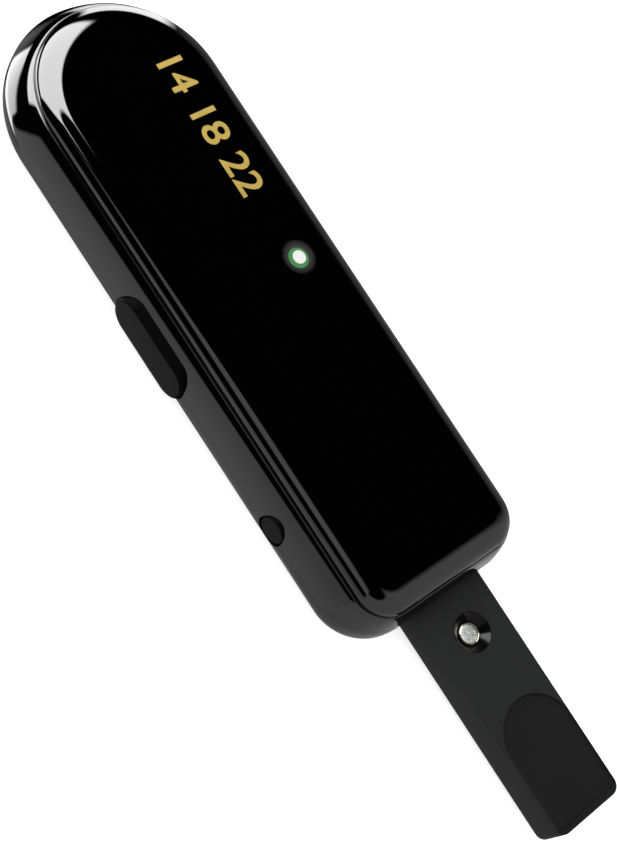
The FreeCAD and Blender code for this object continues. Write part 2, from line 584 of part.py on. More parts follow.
hollow = new_sketch(panel_body, "panel_hollow", "XY_Plane", "Sizes.seam_height - Sizes.lip_drop")
case_outline(hollow, f"{SEAM_HALF} - Sizes.panel_skirt", f"{SEAM_LOW} - Sizes.panel_skirt",
             "Sizes.seam_corner - Sizes.panel_skirt")
sink(panel_body, hollow, f"{PLATE_UNDER} - Sizes.seam_height + Sizes.lip_drop", along_normal=True)
doc.recompute()

bosses = []
boss_bores = []
BOSS_FOOT = f"({COLUMN_TOP} + Sizes.boss_gap)"
for side, x, y in SCREW_PLACES:
    bosses.append(cylinder(f"boss_{side}", (x, y, BOSS_FOOT), "Sizes.boss_wide",
                           f"{PLATE_UNDER} - {BOSS_FOOT} + Sizes.panel_land"))
    boss_bores.append(cylinder(f"boss_bore_{side}", (x, y, BOSS_FOOT), "Sizes.screw_shank",
                               f"{SCREW_END} - {BOSS_FOOT} + Sizes.boss_gap"))
light_bore = cylinder("light_bore", ("Sizes.light_across", "Sizes.light_along", PLATE_UNDER),
                      "Sizes.light_wide + 2 * Sizes.fit_gap", f"Sizes.panel_plate + {PAST}")
panel_blank = fuse("panel_blank", [panel_body] + bosses)
front_panel = cut("front_panel", panel_blank, boss_bores + [light_bore])
node(front_panel, "front_panel")

# ---------------------------------------------------------------- status light
# A clear light pipe with a domed top is pushed up through the panel; the diode sits under it.
pipe_body = new_body("light_pipe")
stem = new_sketch(pipe_body, "pipe_stem", "XY_Plane", f"{PLATE_UNDER} - Sizes.light_flange")
disc(stem, "Sizes.light_across", "Sizes.light_along", "Sizes.light_wide")
stem_rod = grow(pipe_body, stem, f"{PANEL_TOP} - {PLATE_UNDER} + Sizes.light_flange + Sizes.light_dome")
round_edges(pipe_body, stem_rod, "Sizes.light_dome", flat_at(f"{PANEL_TOP} + Sizes.light_dome"))
flange = new_sketch(pipe_body, "pipe_flange", "XY_Plane", f"{PLATE_UNDER} - Sizes.light_flange")
disc(flange, "Sizes.light_across", "Sizes.light_along", "Sizes.light_wide + 2 * Sizes.light_flange")
grow(pipe_body, flange, "Sizes.light_flange")
node(pipe_body, "light_pipe")
node(middle_box("status_diode", "Sizes.light_across", "Sizes.light_along", BOARD_TOP,
                ("Sizes.diode_long", "Sizes.diode_wide", "Sizes.diode_thick")), "status_diode")

# ---------------------------------------------------------------- main board
board_plate = box("board_plate", (BOARD_LEFT, BOARD_LOW, BOARD_UNDER),
                  (f"{BOARD_RIGHT} - {BOARD_LEFT}", f"{BOARD_HIGH} - {BOARD_LOW}",
                   "Sizes.board_thick"))
board_holes = [cylinder(f"board_hole_{side}", (x, y, BOARD_UNDER),
                        "Sizes.board_screw_shank + 2 * Sizes.boss_gap", "Sizes.board_thick")
               for side, x, y in POST_PLACES]
node(cut("main_board", board_plate, board_holes), "main_board")
board_screws = [screw(f"board_screw_{side}", x, y, BOARD_TOP, "Sizes.board_screw_head",
                      "Sizes.board_screw_high", "Sizes.board_screw_shank",
                      "(Sizes.board_thick + Sizes.board_screw_bite)", head_up=True)
                for side, x, y in POST_PLACES]
node(group("board_screws", board_screws), "board_screws")
node(middle_box("controller_chip", "0", f"-{ARM_INNER} + Sizes.controller_side", BOARD_TOP,
                ("Sizes.controller_side", "Sizes.controller_side", "Sizes.chip_thick")), "controller_chip")
node(middle_box("amplifier_chip", "0", f"-{ARM_INNER} - 2 * Sizes.amplifier_side", BOARD_TOP,
                ("Sizes.amplifier_side", "Sizes.amplifier_side", "Sizes.chip_thick")), "amplifier_chip")

# ---------------------------------------------------------------- side buttons and their switches
# Each cap passes through its window, is held by two ears inside and pushes a plunger into its switch.
SWITCH_FACE = f"({POST_BACK} + Sizes.plunger_long - Sizes.plunger_seat)"


def side_button(label, along, level, length, width, proud, edge):
    """A cap with the ears that hold it in and the post behind it, all drawn out along X."""
    body = new_body(label)
    outside = f"(-{HALF_WIDTH} - {proud})"
    cap = new_sketch(body, f"{label}_face", "YZ_Plane", outside)
    if length == width:
        disc(cap, along, level, width)
    else:
        pill(cap, along, level, length, width)
    block = grow(body, cap, f"{CAP_BACK} - {outside}")
    round_edges(body, block, edge, flat_across(outside))
    ears = new_sketch(body, f"{label}_ears", "YZ_Plane", CAP_BACK)
    pill(ears, along, level, f"{length} + 2 * Sizes.button_ear", f"{width} - 2 * Sizes.ear_narrow")
    grow(body, ears, "Sizes.flange_thick")
    post = new_sketch(body, f"{label}_post", "YZ_Plane", EAR_BACK)
    disc(post, along, level, "2 * Sizes.plunger_wide")
    grow(body, post, "Sizes.post_long")
    return node(body, label)


def side_switch(label, along, level):
    """A switch that hangs under the board, bored for its plunger."""
    low = f"({level} - Sizes.plunger_wide)"
    case = box(f"{label}_case", (SWITCH_FACE, f"{along} - Sizes.switch_long / 2", low),
               ("Sizes.switch_deep", "Sizes.switch_long", f"{BOARD_UNDER} - {low}"))
    bore = cylinder(f"{label}_bore", (SWITCH_FACE, along, level),
                    "Sizes.plunger_wide + 2 * Sizes.rest_gap",
                    "Sizes.plunger_seat + Sizes.press_travel + Sizes.rest_gap", lying=True)
    node(cut(label, case, [bore]), label)
    rod = cylinder(f"{label}_plunger", (POST_BACK, along, level), "Sizes.plunger_wide",
                   "Sizes.plunger_long", lying=True)
    node(rod, f"{label}_plunger")


side_button("long_button", LONG_BUTTON_Y, LONG_BUTTON_Z, "Sizes.long_button_long",
            "Sizes.long_button_wide", "Sizes.long_button_proud", "Sizes.button_round")
side_button("round_button", ROUND_BUTTON_Y, ROUND_BUTTON_Z, "Sizes.round_button_wide",
            "Sizes.round_button_wide", "(-Sizes.round_button_in)", "Sizes.button_round / 2")
side_switch("test_switch", LONG_BUTTON_Y, LONG_BUTTON_Z)
side_switch("power_switch", ROUND_BUTTON_Y, ROUND_BUTTON_Z)

# ---------------------------------------------------------------- arm guides
RAIL_LOW = f"(-{CAVITY_LOW} + Sizes.lip_gap)"
RAIL_LONG = f"({CAVITY_LOW} - Sizes.lip_gap - {RAIL_END})"
RAIL_TOP = f"({ARM_FRONT} + Sizes.slide_gap + Sizes.rail_roof)"
for side, wall_x, lip_x in (("left_rail", f"-{RAIL_OUTSIDE}", f"-{RAIL_OUTSIDE}"),
                            ("right_rail", RAIL_INSIDE, f"{RAIL_INSIDE} - Sizes.rail_lip")):
    rail_web = box(f"{side}_web", (wall_x, RAIL_LOW, "Sizes.floor_wall"),
                   ("Sizes.rail_wall", RAIL_LONG, f"{RAIL_TOP} - Sizes.floor_wall"))
    rail_hook = box(f"{side}_hook", (lip_x, RAIL_LOW, f"{RAIL_TOP} - Sizes.rail_roof"),
                    ("Sizes.rail_wall + Sizes.rail_lip", RAIL_LONG, "Sizes.rail_roof"))
    node(fuse(side, [rail_web, rail_hook]), side)
SLOT_WIDE = "(Sizes.stop_wide + 2 * Sizes.slide_gap)"
node(cylinder("stop_pin", ("0", STOP_Y, "Sizes.floor_wall - Sizes.stop_sink"), "Sizes.stop_wide",
              "Sizes.stop_sink + Sizes.arm_lift + Sizes.cover_thick"), "stop_pin")
node(middle_box("drag_pad", "0", f"{RAIL_LOW} + Sizes.pad_long", "Sizes.floor_wall",
                ("Sizes.pad_wide", "Sizes.pad_long", "Sizes.arm_lift - Sizes.pad_gap")), "drag_pad")

# ---------------------------------------------------------------- test arm
# A hollow bar with a cover let into its back, a thumb scoop at the tip and the test well near the case.
ARM_LONG = "(Sizes.arm_out + Sizes.arm_in)"
bar_body = new_body("arm_bar")
bar_side = new_sketch(bar_body, "arm_outline", "XY_Plane", ARM_BACK)
rectangle(bar_side, ARM_HALF, f"-{ARM_TIP}", f"-{ARM_INNER}")
bar = grow(bar_body, bar_side, ARM_THICK)
tip_line = -number(ARM_TIP)
tip_edges = lambda extent: extent.ZLength > 1e-3 and extent.YMax < tip_line + 1e-3
round_edges(bar_body, bar, "Sizes.tip_corner", tip_edges)
doc.recompute()

hollow_cut = box("arm_hollow",
                 (f"-{ARM_HALF} + Sizes.arm_wall", f"-{ARM_TIP} + Sizes.arm_wall", ARM_BACK),
                 (f"{ARM_WIDTH} - 2 * Sizes.arm_wall", f"{ARM_LONG} - 2 * Sizes.arm_wall",
                  f"{ARM_THICK} - Sizes.arm_plate"))
REBATE = "(Sizes.arm_wall - Sizes.cover_rebate)"
rebate_cut = box("arm_rebate", (f"-{ARM_HALF} + {REBATE}", f"-{ARM_TIP} + {REBATE}", ARM_BACK),
                 (f"{ARM_WIDTH} - 2 * {REBATE}", f"{ARM_LONG} - 2 * {REBATE}", "Sizes.cover_thick"))
well_hole = cylinder("well_hole", ("0", WELL_Y, PLATE_Z), "Sizes.well_mouth", f"Sizes.arm_plate + {PAST}")

# The scoop's plan is a half round that runs into straight sides; its floor is a long hollow.
SCOOP_HALF = f"({ARM_HALF} - Sizes.scoop_edge)"
SCOOP_CENTRE = f"(-{LOW_REACH} - Sizes.scoop_out - {SCOOP_HALF})"
SCOOP_END = f"(-{ARM_TIP} + Sizes.scoop_tip)"
SCOOP_FLOOR = f"({ARM_FRONT} - 2 * Sizes.scoop_deep)"
scoop_plan = fuse("scoop_plan", [
    cylinder("scoop_round", ("0", SCOOP_CENTRE, SCOOP_FLOOR), f"2 * {SCOOP_HALF}", "4 * Sizes.scoop_deep"),
    box("scoop_sides", (f"-{SCOOP_HALF}", SCOOP_END, SCOOP_FLOOR),
        (f"2 * {SCOOP_HALF}", f"{SCOOP_CENTRE} - {SCOOP_END}", "4 * Sizes.scoop_deep")),
])
scoop_drum = doc.addObject("Part::Cylinder", "scoop_drum")
scoop_drum.setExpression("Radius", "Sizes.scoop_bow")
scoop_drum.setExpression("Height", "2 * Sizes.arm_out")
scoop_drum.Placement.Rotation = FreeCAD.Rotation(FreeCAD.Vector(1, 0, 0), 90)
scoop_drum.setExpression(".Placement.Base.y", f"-{LOW_REACH}")
scoop_drum.setExpression(".Placement.Base.z", f"{ARM_FRONT} - Sizes.scoop_deep + Sizes.scoop_bow")
scoop = doc.addObject("Part::Common", "scoop")
scoop.Base = scoop_plan
scoop.Tool = scoop_drum

# Two screw bosses for the cover: behind the tip and between the well and the scoop.
NECK_Y = f"({WELL_Y} - Sizes.well_mouth / 2 - Sizes.well_flange - Sizes.post_wide / 2 - Sizes.boss_gap)"
TIP_Y = f"(-{ARM_TIP} + Sizes.arm_wall + Sizes.post_wide)"
COVER_SCREWS = [("neck", NECK_Y), ("tip", TIP_Y)]
COVER_FRONT = f"({ARM_BACK} + Sizes.cover_thick)"
cover_bosses = [cylinder(f"cover_boss_{spot}", ("0", y, COVER_FRONT), "Sizes.post_wide",
                         f"{PLATE_Z} - {COVER_FRONT} + Sizes.panel_land") for spot, y in COVER_SCREWS]
cover_boss_bores = [cylinder(f"cover_boss_bore_{spot}", ("0", y, COVER_FRONT), "Sizes.board_screw_shank",
                             "Sizes.cover_bite") for spot, y in COVER_SCREWS]

# The lead strip rises through the plate to the contact track on the arm's front.
TRACK_END = f"(-{ARM_INNER} - Sizes.track_from_end)"
TRACK_LOW = f"({TRACK_END} - Sizes.arm_travel - Sizes.track_wide)"
TRACK_FOOT = f"({ARM_FRONT} - Sizes.track_deep)"
track_seat = box("track_seat", ("-Sizes.track_wide / 2", TRACK_LOW, TRACK_FOOT),
                 ("Sizes.track_wide", f"{TRACK_END} - {TRACK_LOW}", f"Sizes.track_deep + {PAST}"))
TAB_Y = f"({TRACK_LOW} + Sizes.lead_wide)"
tab_hole = box("tab_hole", ("-Sizes.lead_wide / 2", TAB_Y, f"{PLATE_Z} - {PAST}"),
               ("Sizes.lead_wide", "Sizes.strip_thick", f"Sizes.arm_plate + {PAST}"))
arm_hollowed = cut("arm_hollowed", bar_body, [hollow_cut, rebate_cut])
arm_blank = fuse("arm_blank", [arm_hollowed] + cover_bosses)
node(cut("arm_body", arm_blank, cover_boss_bores + [well_hole, scoop, track_seat, tab_hole]), "arm_body")

cover_plate = box("cover_plate",
                  (f"-{ARM_HALF} + {REBATE} + Sizes.rest_gap",
                   f"-{ARM_TIP} + {REBATE} + Sizes.rest_gap", ARM_BACK),
                  (f"{ARM_WIDTH} - 2 * {REBATE} - 2 * Sizes.rest_gap",
                   f"{ARM_LONG} - 2 * {REBATE} - 2 * Sizes.rest_gap", "Sizes.cover_thick"))
stop_slot = box("stop_slot",
                (f"-{SLOT_WIDE} / 2", f"{STOP_Y} - Sizes.arm_travel - {SLOT_WIDE} / 2", ARM_BACK),
                (SLOT_WIDE, f"Sizes.arm_travel + {SLOT_WIDE}", "Sizes.cover_thick"))
cover_cuts = [stop_slot]
for spot, y in COVER_SCREWS:
    cover_cuts.append(cylinder(f"cover_sink_{spot}", ("0", y, ARM_BACK),
                               "Sizes.board_screw_head + 2 * Sizes.boss_gap", "Sizes.board_screw_high"))
    cover_cuts.append(cylinder(f"cover_hole_{spot}", ("0", y, ARM_BACK),
                               "Sizes.board_screw_shank + 2 * Sizes.boss_gap", "Sizes.cover_thick"))
node(cut("arm_cover", cover_plate, cover_cuts), "arm_cover")
cover_screws = [screw(f"cover_screw_{spot}", "0", y, f"{ARM_BACK} + Sizes.board_screw_high",
                      "Sizes.board_screw_head", "Sizes.board_screw_high", "Sizes.board_screw_shank",
                      "(Sizes.cover_thick - Sizes.board_screw_high + Sizes.cover_bite)", head_up=False)
                for spot, y in COVER_SCREWS]
node(group("arm_cover_screws", cover_screws), "arm_cover_screws")

# ---------------------------------------------------------------- test well
# The cup is pushed up into the arm's plate. Its cone leads down to a bright ring and a flat contact.
cup_stem = cylinder("cup_stem", ("0", WELL_Y, f"{PLATE_Z} - Sizes.flange_thick"), "Sizes.well_mouth",
                    "Sizes.arm_plate + Sizes.flange_thick")
cup_flange = middle_box("cup_flange", "0", WELL_Y, f"{PLATE_Z} - Sizes.flange_thick",
                        (f"{ARM_WIDTH} - 2 * Sizes.arm_wall - 2 * Sizes.rest_gap",
                         "Sizes.well_mouth + 2 * Sizes.well_flange", "Sizes.flange_thick"))
cup_cone = doc.addObject("Part::Cone", "cup_cone")
cup_cone.setExpression("Radius1", "Sizes.well_foot / 2")
cup_cone.setExpression("Radius2", "Sizes.well_mouth / 2 - Sizes.well_lip")
cup_cone.setExpression("Height", "Sizes.well_deep")
cup_cone.setExpression(".Placement.Base.y", WELL_Y)
cup_cone.setExpression(".Placement.Base.z", WELL_FOOT_Z)
RING_WIDE = "(Sizes.contact_wide + 2 * Sizes.fit_gap + 2 * Sizes.ring_wall)"
RING_FOOT = f"({WELL_FOOT_Z} - 2 * Sizes.ring_wall)"
ring_seat = cylinder("ring_seat", ("0", WELL_Y, RING_FOOT), RING_WIDE, "Sizes.well_deep")
contact_bore = cylinder("contact_bore", ("0", WELL_Y, f"{PLATE_Z} - Sizes.flange_thick"),
                        "Sizes.contact_wide + 2 * Sizes.fit_gap", "Sizes.arm_plate + Sizes.flange_thick")
cup_blank = fuse("cup_blank", [cup_stem, cup_flange])
node(cut("well_cup", cup_blank, [cup_cone, ring_seat, contact_bore]), "well_cup")
ring_outside = cylinder("ring_outside", ("0", WELL_Y, RING_FOOT), RING_WIDE,
                        "2 * Sizes.ring_wall + Sizes.ring_stand")
ring_inside = cylinder("ring_inside", ("0", WELL_Y, RING_FOOT), "Sizes.contact_wide + 2 * Sizes.fit_gap",
                       "2 * Sizes.ring_wall + Sizes.ring_stand")
node(cut("contact_ring", ring_outside, [ring_inside]), "contact_ring")
CONTACT_TOP = f"({WELL_FOOT_Z} - Sizes.contact_sink)"
CONTACT_FOOT = f"({CONTACT_TOP} - Sizes.contact_long)"
pin_body = new_body("test_contact")
pin = new_sketch(pin_body, "contact_outline", "XY_Plane", CONTACT_FOOT)
disc(pin, "0", WELL_Y, "Sizes.contact_wide")
pin_rod = grow(pin_body, pin, "Sizes.contact_long")
round_edges(pin_body, pin_rod, "Sizes.ring_stand", flat_at(CONTACT_TOP))
node(pin_body, "test_contact")

# ---------------------------------------------------------------- conductors
LEAD_LOW = f"({WELL_Y} - Sizes.contact_wide / 2)"
lead_strip = box("lead_strip", ("-Sizes.lead_wide / 2", LEAD_LOW, f"{CONTACT_FOOT} - Sizes.strip_thick"),
                 ("Sizes.lead_wide", f"{TAB_Y} + Sizes.strip_thick - {LEAD_LOW}", "Sizes.strip_thick"))
lead_tab = box("lead_tab", ("-Sizes.lead_wide / 2", TAB_Y, f"{CONTACT_FOOT} - Sizes.strip_thick"),
               ("Sizes.lead_wide", "Sizes.strip_thick", f"{TRACK_FOOT} - {CONTACT_FOOT} + Sizes.strip_thick"))
node(fuse("contact_lead", [lead_strip, lead_tab]), "contact_lead")
node(box("contact_track", ("-Sizes.track_wide / 2", TRACK_LOW, TRACK_FOOT),
         ("Sizes.track_wide", f"{TRACK_END} - {TRACK_LOW}", "Sizes.track_deep")), "contact_track")

# The wiper hangs under the board and rests on the track wherever the arm stands.
WIPER_Y = f"(-{ARM_INNER} - Sizes.track_from_end - Sizes.track_wide / 2)"
WIPER_FOOT = f"({ARM_FRONT} + Sizes.pad_gap)"
wiper_shoe = middle_box("wiper_shoe", "0", WIPER_Y, WIPER_FOOT,
                        ("Sizes.lead_wide", "Sizes.lead_wide", "Sizes.strip_thick"))
wiper_web = box("wiper_web", ("-Sizes.lead_wide / 2", f"{WIPER_Y} + Sizes.lead_wide / 2", WIPER_FOOT),
                ("Sizes.lead_wide", "Sizes.strip_thick", f"{BOARD_UNDER} - {WIPER_FOOT}"))
wiper_foot = box("wiper_foot", ("-Sizes.lead_wide / 2", f"{WIPER_Y} + Sizes.lead_wide / 2",
                                f"{BOARD_UNDER} - Sizes.strip_thick"),
                 ("Sizes.lead_wide", "2 * Sizes.lead_wide", "Sizes.strip_thick"))
node(fuse("contact_wiper", [wiper_shoe, wiper_web, wiper_foot]), "contact_wiper")

# ---------------------------------------------------------------- coin cell, holder and door
CELL_FOOT = "(Sizes.door_thick + Sizes.cell_lift)"
CELL_TOP = f"({CELL_FOOT} + Sizes.cell_thick)"
CELL_BORE = "(Sizes.cell_wide + 2 * Sizes.cell_gap)"
ROOF_UNDER = f"({CELL_TOP} + 2 * Sizes.strip_thick)"
cell_body = new_body("coin_cell")
can = new_sketch(cell_body, "cell_outline", "XY_Plane", CELL_FOOT)
disc(can, "0", CELL_Y, "Sizes.cell_wide")
can_block = grow(cell_body, can, "Sizes.cell_thick")
round_edges(cell_body, can_block, "Sizes.strip_thick", flat_at(CELL_FOOT))
node(cell_body, "coin_cell")

holder_ring = cylinder("holder_ring", ("0", CELL_Y, LEDGE_TOP),
                       f"{CELL_BORE} + 2 * Sizes.holder_wall",
                       f"{ROOF_UNDER} + Sizes.holder_roof - {LEDGE_TOP}")
holder_bore = cylinder("holder_bore", ("0", CELL_Y, LEDGE_TOP), CELL_BORE,
                       f"{ROOF_UNDER} - {LEDGE_TOP}")
PLUS_Y = f"({CELL_Y} - Sizes.cell_wide / 2 - Sizes.cell_gap - Sizes.strip_thick)"
MINUS_Y = f"({CELL_Y} - Sizes.cell_wide / 2 + Sizes.holder_wall)"
plus_slot = middle_box("plus_slot", "0", f"{PLUS_Y} + Sizes.strip_thick", LEDGE_TOP,
                       ("Sizes.lead_wide + 2 * Sizes.fit_gap", "2 * Sizes.strip_thick", BOARD_UNDER))
minus_slot = box("minus_slot", ("Sizes.minus_across", MINUS_Y, ROOF_UNDER),
                 ("Sizes.lead_wide", "Sizes.strip_thick", "Sizes.holder_roof"))
# The holder's flanks are trimmed to the cavity's width.
holder_trim = box("holder_trim", (f"-{CAVITY_HALF} + Sizes.lip_gap", "0", "0"),
                  (f"2 * ({CAVITY_HALF} - Sizes.lip_gap)", "Sizes.body_length", "Sizes.seam_height"))
holder_blank = doc.addObject("Part::Common", "holder_blank")
holder_blank.Base = holder_ring
holder_blank.Tool = holder_trim
node(cut("cell_holder", holder_blank, [holder_bore, plus_slot, minus_slot]), "cell_holder")

node(box("plus_contact", ("-Sizes.lead_wide / 2", PLUS_Y, f"{CELL_FOOT} + Sizes.cell_thick / 3"),
         ("Sizes.lead_wide", "Sizes.strip_thick", f"{BOARD_UNDER} - {CELL_FOOT} - Sizes.cell_thick / 3")),
     "plus_contact")
minus_leaf = box("minus_leaf", ("Sizes.minus_across - Sizes.lead_wide", MINUS_Y, CELL_TOP),
                 ("2 * Sizes.lead_wide", "Sizes.cell_wide / 2", "Sizes.strip_thick"))
minus_tab = box("minus_tab", ("Sizes.minus_across", MINUS_Y, CELL_TOP),
                ("Sizes.lead_wide", "Sizes.strip_thick", f"{BOARD_UNDER} - {CELL_TOP}"))
node(fuse("minus_contact", [minus_leaf, minus_tab]), "minus_contact")

door_plate = rounded_plate("door_plate", "0", "0", "Sizes.door_thick")
door_sink = cylinder("door_sink", ("0", DOOR_SCREW_Y, "0"), "Sizes.board_screw_head + 2 * Sizes.boss_gap",
                     "Sizes.board_screw_high")
door_hole = cylinder("door_hole", ("0", DOOR_SCREW_Y, "0"), "Sizes.board_screw_shank + 2 * Sizes.boss_gap",
                     "Sizes.door_thick")
node(cut("battery_door", door_plate, [door_sink, door_hole]), "battery_door")
node(screw("door_screw", "0", DOOR_SCREW_Y, "Sizes.board_screw_high", "Sizes.board_screw_head",
           "Sizes.board_screw_high", "Sizes.board_screw_shank",
           "(Sizes.door_thick - Sizes.board_screw_high + Sizes.board_screw_bite)", head_up=False),
     "door_screw")

# ---------------------------------------------------------------- case screws
case_screws = [screw(f"case_screw_{side}", x, y, SEAT, "Sizes.screw_head", "Sizes.screw_head_high",
                     "Sizes.screw_shank", f"({SCREW_END} - {SEAT})", head_up=False)
               for side, x, y in SCREW_PLACES]
node(group("case_screws", case_screws), "case_screws")

# ---------------------------------------------------------------- check and write
doc.recompute()
failed = [item.Name for item in doc.Objects if "Invalid" in item.State or "Error" in item.State]
if failed:
    raise SystemExit(f"objects that failed: {failed}")
for piece in NODES:
    if piece.Shape.isNull() or not piece.Shape.isValid() or piece.Shape.Volume <= 0:
        raise SystemExit(f"{piece.Label} has no valid shape")
os.makedirs("parts", exist_ok=True)
for piece in NODES:
    piece.Shape.exportStep(f"parts/{piece.Label}.step")
    print(f"{piece.Label}: {len(piece.Shape.Solids)} solid(s), {piece.Shape.Volume:.1f} mm3")
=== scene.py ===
import math

import bmesh
import bpy
from mathutils import Matrix, Vector


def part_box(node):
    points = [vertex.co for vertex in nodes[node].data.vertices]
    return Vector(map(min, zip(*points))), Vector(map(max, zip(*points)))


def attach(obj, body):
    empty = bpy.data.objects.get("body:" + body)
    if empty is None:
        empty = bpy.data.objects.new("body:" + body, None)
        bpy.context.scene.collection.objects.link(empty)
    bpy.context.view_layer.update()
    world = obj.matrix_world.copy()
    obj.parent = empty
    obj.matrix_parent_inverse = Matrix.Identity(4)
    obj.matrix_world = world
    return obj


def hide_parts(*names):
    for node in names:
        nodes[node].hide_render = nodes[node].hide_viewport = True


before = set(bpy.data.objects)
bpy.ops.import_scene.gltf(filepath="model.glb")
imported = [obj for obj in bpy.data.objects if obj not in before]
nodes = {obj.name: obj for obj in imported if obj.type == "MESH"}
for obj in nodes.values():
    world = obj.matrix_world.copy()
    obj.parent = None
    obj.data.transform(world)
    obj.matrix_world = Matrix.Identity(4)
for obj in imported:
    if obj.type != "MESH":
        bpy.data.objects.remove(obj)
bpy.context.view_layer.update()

# ---------------------------------------------------------------- rear shell
# The deep half of the case, one moulding in black ABS from a polished tool. Its back edge is rounded. Above
# the widest line a shoulder draws in to the seam, and four screws from the back pull the panel down on it.
MM = 0.001
shell_low, shell_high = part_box("rear_shell")
HALF_WIDTH = shell_high.x
SQUARED_END = shell_low.y
ROUND_CENTRE = shell_high.y - HALF_WIDTH
SEAM_LEVEL = shell_high.z
BACK_ROUND = 4.3 * MM
SHOULDER_DROP = 4.4 * MM
SHOULDER_INSET = 2.68 * MM
END_INSET = 1.3 * MM
END_CORNER = 8.0 * MM
SEAM_CORNER = 5.0 * MM
FLOOR_WALL = 1.5 * MM

# The arcs of the case's plan, each as the angle that it starts from, its turn and its steps.
CASE_TURNS = ((0, math.pi, 96), (math.pi, math.pi / 2, 24), (1.5 * math.pi, math.pi / 2, 24))


def case_arcs(inset, end_inset, corner, level, held_back=0):
    """The three arcs of the case's plan, drawn in from its widest line, each as its centre and its radius:
    the round end, which may be held back from its place, and the two corners of the squared end."""
    side, low = HALF_WIDTH - inset - corner, SQUARED_END + end_inset + corner
    return [(Vector((0, ROUND_CENTRE - held_back, level)), HALF_WIDTH - inset),
            (Vector((-side, low, level)), corner), (Vector((side, low, level)), corner)]


def case_solid(name, rings):
    """A closed solid whose wall passes through the case's rings, each (inset, end inset, corner, level)."""
    mesh = bmesh.new()
    arc_mark = mesh.verts.layers.int.new("arc")
    arcs = case_arcs(*rings[0])
    ends = []
    for mark, (turn_from, turn, steps) in enumerate(CASE_TURNS):
        centre, radius = arcs[mark]
        first = mesh.verts.new(centre + radius * Vector((math.cos(turn_from), math.sin(turn_from), 0)))
        first[arc_mark] = mark
        swept = bmesh.ops.spin(mesh, geom=[first], cent=centre, axis=(0, 0, 1), angle=turn, steps=steps)
        last = next(item for item in swept["geom_last"] if isinstance(item, bmesh.types.BMVert))
        ends.append((first, last))
    for (_, here), (there, _) in zip(ends, ends[1:] + ends[:1]):
        mesh.edges.new((here, there))
    loop = mesh.edges[:]
    bmesh.ops.edgeloop_fill(mesh, edges=loop)
    for ring in rings[1:]:
        wider = case_arcs(*ring)
        grown = bmesh.ops.extrude_edge_only(mesh, edges=loop)["geom"]
        corners = {item for item in grown if isinstance(item, bmesh.types.BMVert)}
        for mark, (centre, radius) in enumerate(arcs):
            chosen = [corner for corner in corners if corner[arc_mark] == mark]
            share = wider[mark][1] / radius
            bmesh.ops.scale(mesh, vec=(share, share, 1), space=Matrix.Translation(-centre), verts=chosen)
            bmesh.ops.translate(mesh, vec=wider[mark][0] - centre, verts=chosen)
        loop = [item for item in grown
                if isinstance(item, bmesh.types.BMEdge) and corners.issuperset(item.verts)]
        arcs = wider
    bmesh.ops.edgeloop_fill(mesh, edges=loop)
    bmesh.ops.recalc_face_normals(mesh, faces=mesh.faces)
    return finished(name, mesh)


def finished(name, mesh):
    """The bmesh as an object of the scene."""
    data = bpy.data.meshes.new(name)
    mesh.to_mesh(data)
    mesh.free()
    piece = bpy.data.objects.new(name, data)
    bpy.context.scene.collection.objects.link(piece)
    return piece


def box_mesh(low, high):
    """A rectangular bmesh from corner to corner, and its size."""
    mesh = bmesh.new()
    size = Vector(high) - Vector(low)
    bmesh.ops.create_cube(mesh, size=1)
    bmesh.ops.scale(mesh, vec=size, verts=mesh.verts)
    bmesh.ops.translate(mesh, vec=Vector(low) + size / 2, verts=mesh.verts)
    return mesh, size


def bevelled(mesh, edges, offset, steps):
    """Rounds edges of a bmesh."""
    bmesh.ops.bevel(mesh, geom=edges, offset=offset, segments=steps, profile=0.5, affect="EDGES",
                    material=-1)


def block(name, low, high):
    """A rectangular solid from corner to corner."""
    return finished(name, box_mesh(low, high)[0])


def rod(name, foot, width, length, axis="Z", steps=64):
    """A plain round rod from its foot along Z or X."""
    mesh = bmesh.new()
    bmesh.ops.create_cone(mesh, cap_ends=True, segments=steps, radius1=width / 2, radius2=width / 2,
                          depth=length)
    bmesh.ops.translate(mesh, vec=(0, 0, length / 2), verts=mesh.verts)
    if axis == "X":
        bmesh.ops.rotate(mesh, matrix=Matrix.Rotation(math.pi / 2, 3, "Y"), verts=mesh.verts)
    bmesh.ops.translate(mesh, vec=foot, verts=mesh.verts)
    return finished(name, mesh)


def carve(piece, *tools, operation="DIFFERENCE"):
    """Cuts solids out of a piece, or joins them on, and does away with them."""
    for tool in tools:
        step = piece.modifiers.new("carve", "BOOLEAN")
        step.solver = "EXACT"
        step.operation = operation
        step.object = tool
    shaped = bpy.data.meshes.new_from_object(piece.evaluated_get(bpy.context.evaluated_depsgraph_get()))
    piece.modifiers.clear()
    piece.data = shaped
    for tool in tools:
        bpy.data.objects.remove(tool)
    return piece


def polished(piece, sharp=35):
    """Smooth shading with the edges above the angle 'sharp' kept crisp."""
    piece.data.polygons.foreach_set("use_smooth", [True] * len(piece.data.polygons))
    piece.data.set_sharp_from_angle(angle=math.radians(sharp))
    return piece


def round_over(steps):
    """The stations of a quarter turn, each as its share drawn in and its share risen."""
    turns = [math.pi / 2 * step / steps for step in range(steps + 1)]
    return [(1 - math.cos(turn), math.sin(turn)) for turn in turns]


